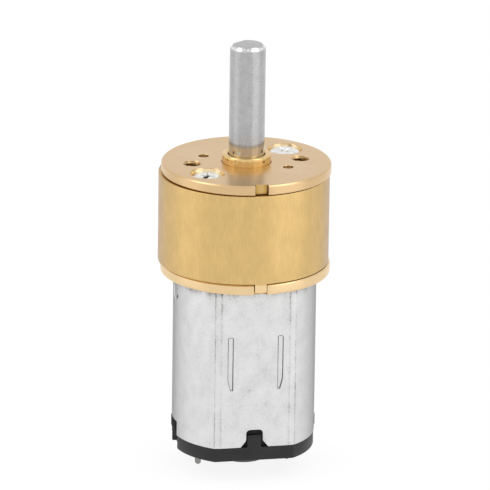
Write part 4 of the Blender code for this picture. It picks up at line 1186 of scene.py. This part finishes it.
def groove_cutters(side, face):
    """The thin slit round a groove's tongue, and the shallow dish that sinks the tongue more
    and more towards its foot."""
    surface = CAN_FLATS / 2
    slit = groove_outline(side, 0) + groove_outline(side, SLIT_WIDTH)[::-1]
    start, end = face * (surface + CUT), face * (surface - SLIT_DEPTH)
    sinking = (GROOVE_END_DEPTH - GROOVE_DEPTH) / (GROOVE_TOP_Z - GROOVE_END_Z)
    outside, inside = [], []
    for x, z in groove_outline(side, SLIT_WIDTH / 2):
        outside.append((x, start, z))
        inside.append((x, face * (surface - GROOVE_DEPTH - sinking * (GROOVE_TOP_Z - z)), z))
    dish = loft("dish_cutter", [outside, inside])
    return [dish, prism_along_y("slit_cutter", slit, start, end)]


def side_cutter(name, diameter, depth, y, z, edge):
    """Cuts a round dish with a chamfered mouth into the can's -X side."""
    radius = diameter / 2
    profile = [(0, CUT), (radius + edge, CUT), (radius + edge, 0), (radius, -edge)]
    profile += [(radius * DISH_FLOOR, -depth), (0, -depth)]
    cutter = turned(name, profile, SMALL)
    surface = -math.sqrt((CAN_DIAMETER / 2) ** 2 - y**2)
    upright = Matrix.Rotation(-math.pi / 2, 4, "Y")
    cutter.data.transform(Matrix.Translation((surface, y, z)) @ upright)
    return cutter


def end_notch_cutters(low_z):
    """Cuts the notches in the can's rear edge: flared in the flats and plain in the sides."""
    reach = CAN_DIAMETER
    half, top = SIDE_NOTCH_WIDTH / 2, low_z + SIDE_NOTCH_HEIGHT
    corners = [(-half, top, SIDE_NOTCH_CORNER), (half, top, SIDE_NOTCH_CORNER)]
    corners += [(half, low_z - CUT, 0), (-half, low_z - CUT, 0)]
    side = prism_along_y("side_notch_cutter", rounded(corners), -reach, reach)
    side.data.transform(Matrix.Rotation(math.pi / 2, 4, "Z"))
    return [prism_along_y("notch_cutter", end_notch_outline(low_z), -reach, reach), side]


def make_can(finishes):
    low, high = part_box("motor_can")
    can = can_shell()
    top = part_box("rear_plate")[0].z - SEAT_GAP
    inside = top - CAN_WALL
    radius = CAN_BOSS_DIAMETER / 2
    boss = [
        (0, high.z),
        (radius - CAN_BOSS_CHAMFER, high.z),
        (radius, high.z - CAN_BOSS_CHAMFER),
        (radius, inside + OVERLAP),
        (0, inside + OVERLAP),
    ]
    join(can, turned("boss", boss, SMALL))
    bearing_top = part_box("front_bearing")[1].z + SEAT_GAP
    bore = [
        (0, high.z + CUT),
        (CAN_SHAFT_HOLE / 2, high.z + CUT),
        (CAN_SHAFT_HOLE / 2, bearing_top),
        (BEARING_BORE / 2, bearing_top),
        (BEARING_BORE / 2, inside - CUT),
        (0, inside - CUT),
    ]
    cutters = [turned("bearing_cutter", bore, SMALL)]
    cutters += [screw_hole_cutter(top, inside, node) for node in MOTOR_SCREWS]
    cutters += end_notch_cutters(low.z)
    for side in (-1, 1):
        for face in (-1, 1):
            cutters += groove_cutters(side, face)
    dimple = (DIMPLE_DIAMETER, DIMPLE_DEPTH, DIMPLE_Y, DIMPLE_Z, DIMPLE_EDGE)
    pinhole = (PINHOLE_DIAMETER, PINHOLE_DEPTH, PINHOLE_Y, PINHOLE_Z, PINHOLE_EDGE)
    cutters.append(side_cutter("dimple_cutter", *dimple))
    cutters.append(side_cutter("pinhole_cutter", *pinhole))
    cut(can, *cutters)
    finish_piece(can, "motor_can", finishes["can_steel"])


# End cap and terminals


def cap_outline(inset):
    """The rim's outline: rounds at the sides and flats that meet them at tight corners."""
    radius = CAP_RIM_DIAMETER / 2 - inset
    flat = CAP_RIM_FLATS / 2 - inset
    reach = math.asin(flat / radius)
    corner = (radius * math.cos(reach), flat, CAP_CORNER)
    return rounded(mirrored_outline(radius, reach, corner), 3)


def side_block_outline(inset):
    """The block that fills the can's notch on +X: its outer face follows the can's round, set
    in by this much."""
    radius = CAN_DIAMETER / 2 - inset
    half = CAP_BLOCK_WIDTH / 2
    reach = math.asin(half / radius)
    steps = 12
    face = [polar(radius, reach * (2 * k / steps - 1)) for k in range(steps + 1)]
    root_x = radius - CAN_WALL - CAP_PLUG_WALL / 2
    return [(p.x, p.y) for p in face] + [(root_x, half), (root_x, -half)]


def cap_boss(top, bottom):
    """The boss at the cap's middle that holds the rear bearing."""
    radius = REAR_BOSS_DIAMETER / 2
    corners = [
        (0, top, 0),
        (radius, top, 0),
        (radius, bottom + REAR_BOSS_CHAMFER, EDGE_WIDE),
        (radius - REAR_BOSS_CHAMFER, bottom, EDGE_WIDE),
        (0, bottom, 0),
    ]
    return turned("boss", rounded(corners))


def cap_tabs(top, root):
    """The tabs that stand in the notches of the can's flats."""
    half = CAP_TAB_WIDTH / 2
    corners = [(-half, top, CAP_TAB_CORNER), (half, top, CAP_TAB_CORNER)]
    outline = rounded(corners + [(half, root, 0), (-half, root, 0)])
    near, far = CAN_FLATS / 2 - CAP_PLUG_INSET - OVERLAP, CAP_RIM_FLATS / 2
    return [prism_along_y("tab", outline, face * near, face * far) for face in (-1, 1)]


def cap_side_blocks(top, bottom):
    """The blocks that fill the notches in the can's sides, each with a ledge at its top."""
    blocks = []
    ledge_bottom = top - CAP_LEDGE_HEIGHT
    for turn in (0, math.pi):
        blocks.append(prism("side_block", side_block_outline(CAP_LEDGE_DEPTH), top, bottom))
        blocks.append(prism("side_ledge", side_block_outline(-CAP_LEDGE_REACH), top, ledge_bottom))
        for side in blocks[-2:]:
            side.data.transform(Matrix.Rotation(turn, 4, "Z"))
    return blocks


def cap_cutters(rim_bottom, floor):
    """Cuts the cap's pocket, its bearing seat, the relief under each side block and the slots
    for the terminals."""
    low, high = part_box("end_cap")
    pocket = can_outline(CAP_PLUG_INSET + CAP_PLUG_WALL)
    seat, hole = BEARING_BORE / 2, CAP_SHAFT_HOLE / 2
    seat_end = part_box("rear_bearing")[0].z - SEAT_GAP
    bore = [
        (0, floor + CUT),
        (seat, floor + CUT),
        (seat, seat_end),
        (hole, seat_end),
        (hole, low.z + CAP_HOLE_EDGE),
        (hole + CAP_HOLE_EDGE + CUT, low.z - CUT),
        (0, low.z - CUT),
    ]
    cutters = [prism("pocket", pocket, high.z + CUT, floor), turned("bore", bore)]
    half = SIDE_NOTCH_WIDTH / 2
    relief_top = rim_bottom + CAP_RELIEF_HEIGHT
    for near, far in ((-CAN_DIAMETER, -CAP_RELIEF_X), (CAP_RELIEF_X, CAN_DIAMETER)):
        cutters.append(block("relief", (near, -half, rim_bottom - CUT), (far, half, relief_top)))
    gap = Vector((SEAT_GAP, SEAT_GAP, 0))
    for node in TERMINALS:
        node_low, node_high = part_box(node)
        slot_low, slot_high = node_low - gap, node_high + gap
        slot_low.z, slot_high.z = rim_bottom - CUT, floor + CUT
        cutters.append(block("slot", slot_low, slot_high))
    return cutters


def make_end_cap(finishes):
    low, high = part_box("end_cap")
    can_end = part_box("motor_can")[0].z
    rim_top = can_end - SEAT_GAP
    rim_bottom = rim_top - CAP_RIM_HEIGHT
    levels = [
        (EDGE_TINY, rim_top),
        (0, rim_top - EDGE_TINY),
        (0, rim_bottom + CAP_EDGE),
        (CAP_EDGE * ARC_MIDDLE, rim_bottom + CAP_EDGE * ARC_MIDDLE),
        (CAP_EDGE, rim_bottom),
    ]
    cap = skinned("end_cap_fine", cap_outline, levels)
    root = rim_top - OVERLAP
    plug = prism("plug", can_outline(CAP_PLUG_INSET), high.z, root)
    boss = cap_boss(rim_bottom + OVERLAP, low.z)
    tabs = cap_tabs(can_end + CAP_TAB_HEIGHT, root)
    block_top = can_end + SIDE_NOTCH_HEIGHT - SEAT_GAP
    blocks = cap_side_blocks(block_top, rim_bottom + CAP_RELIEF_HEIGHT - OVERLAP)
    join(cap, plug, boss, *tabs, *blocks)
    cut(cap, *cap_cutters(rim_bottom, rim_top - CAP_FLOOR_DEPTH))
    soften(cap, CAP_SMALL_EDGE, where=lambda middle: middle.z < high.z - OVERLAP)
    finish_piece(cap, "end_cap", finishes["black_plastic"])


def make_terminals(finishes):
    """Flat prongs with round tips."""
    steps = 16
    for node in TERMINALS:
        low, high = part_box(node)
        half, middle = (high.x - low.x) / 2, (high.x + low.x) / 2
        outline = [(middle + half, high.z), (middle - half, high.z)]
        for k in range(steps + 1):
            tip = polar(half, math.pi + math.pi * k / steps)
            outline.append((middle + tip.x, low.z + half + tip.y))
        terminal = prism_along_y(f"{node}_fine", outline, low.y, high.y)
        soften(terminal, TERMINAL_EDGE, 3)
        finish_piece(terminal, node, finishes["terminal_metal"])


# Pieces sealed inside


def finish_inner_pieces(frame, finishes):
    """Each CAD node that nothing replaces gets the finish that the record names for it."""
    slots = {part["node"]: part["material_slot"] for part in frame["record"]["subparts"]}
    for name, thing in frame["nodes"].items():
        thing.data.materials.clear()
        thing.data.materials.append(finishes[slots[name]])


# Studio


def make_camera():
    turn = Matrix.Rotation(CAMERA_AZIMUTH, 4, "Z")
    tilt = Matrix.Rotation(math.pi / 2 - CAMERA_ELEVATION, 4, "X")
    roll = Matrix.Rotation(CAMERA_ROLL, 4, "Z")
    distance = CAMERA_FIELD * CAMERA_LENS / CAMERA_SENSOR
    data = bpy.data.cameras.new("camera")
    data.lens = CAMERA_LENS
    data.sensor_width = CAMERA_SENSOR
    data.clip_start, data.clip_end = CAMERA_CLIP
    camera = bpy.data.objects.new("camera", data)
    turned_to = turn @ tilt @ roll
    camera.matrix_world = Matrix.Translation(CAMERA_AIM) @ turned_to
    camera.location = CAMERA_AIM + turned_to.to_3x3() @ Vector((0, 0, distance))
    bpy.context.scene.collection.objects.link(camera)
    bpy.context.scene.camera = camera


def make_floor(height):
    """A floor that is white mostly by its own glow, so that the object's shadow stays faint."""
    data = bmesh.new()
    bmesh.ops.create_circle(data, cap_ends=True, radius=FLOOR_RADIUS, segments=FLOOR_FACETS)
    floor = mesh_object("floor", data)
    floor.location.z = height
    finish = Finish(
        "pale_floor",
        roughness=0.7,
        base_color=(FLOOR_TONE, FLOOR_TONE, FLOOR_TONE, 1.0),
        emission_color=(1.0, 1.0, 1.0, 1.0),
        emission_strength=FLOOR_GLOW,
        specular_ior_level=0.0,
    )
    floor.data.materials.append(finish.material)


def make_softbox(name, place, aim, size, brightness):
    """A softbox of this width and height that adds this much to what is behind it."""
    data = bpy.data.lights.new(name, "AREA")
    data.shape = "RECTANGLE"
    data.size, data.size_y = size
    data.energy = brightness * math.pi * size[0] * size[1]
    light = bpy.data.objects.new(name, data)
    light.location = place
    light.rotation_euler = (aim - place).to_track_quat("-Z", "Y").to_euler()
    bpy.context.scene.collection.objects.link(light)


def make_studio(floor_height):
    world = bpy.data.worlds.new("studio")
    world.use_nodes = True
    background = world.node_tree.nodes["Background"]
    background.inputs["Color"].default_value = (1.0, 1.0, 1.0, 1.0)
    background.inputs["Strength"].default_value = SURROUNDINGS
    bpy.context.scene.world = world
    bpy.context.scene.view_settings.view_transform = "Standard"
    make_floor(floor_height)
    towards_camera = CAMERA_AZIMUTH - math.pi / 2
    strip_height = floor_height + STRIP_HEIGHT / 2
    for name, turn, width, brightness in STRIPS:
        place = polar(STRIP_DISTANCE, towards_camera + turn, strip_height)
        aim = Vector((0, 0, strip_height))
        make_softbox(name, place, aim, (width, STRIP_HEIGHT), brightness)
    for name, turn, elevation in OVERHEADS:
        radius = OVERHEAD_DISTANCE * math.cos(elevation)
        place = polar(radius, towards_camera + turn, OVERHEAD_DISTANCE * math.sin(elevation))
        size = (OVERHEAD_SIZE, OVERHEAD_SIZE)
        make_softbox(name, place, CAMERA_AIM, size, OVERHEAD_BRIGHTNESS)


def main():
    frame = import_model()
    cad_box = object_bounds()
    finishes = make_finishes()
    finish_inner_pieces(frame, finishes)
    make_output_shaft(finishes)
    make_output_bush(finishes)
    make_front_plate(finishes)
    make_sleeve(finishes)
    make_rear_plate(finishes)
    make_gearbox_screws(finishes)
    make_axle_pins(finishes)
    make_can(finishes)
    make_end_cap(finishes)
    make_terminals(finishes)
    make_camera()
    make_studio(cad_box[0].z)


main()
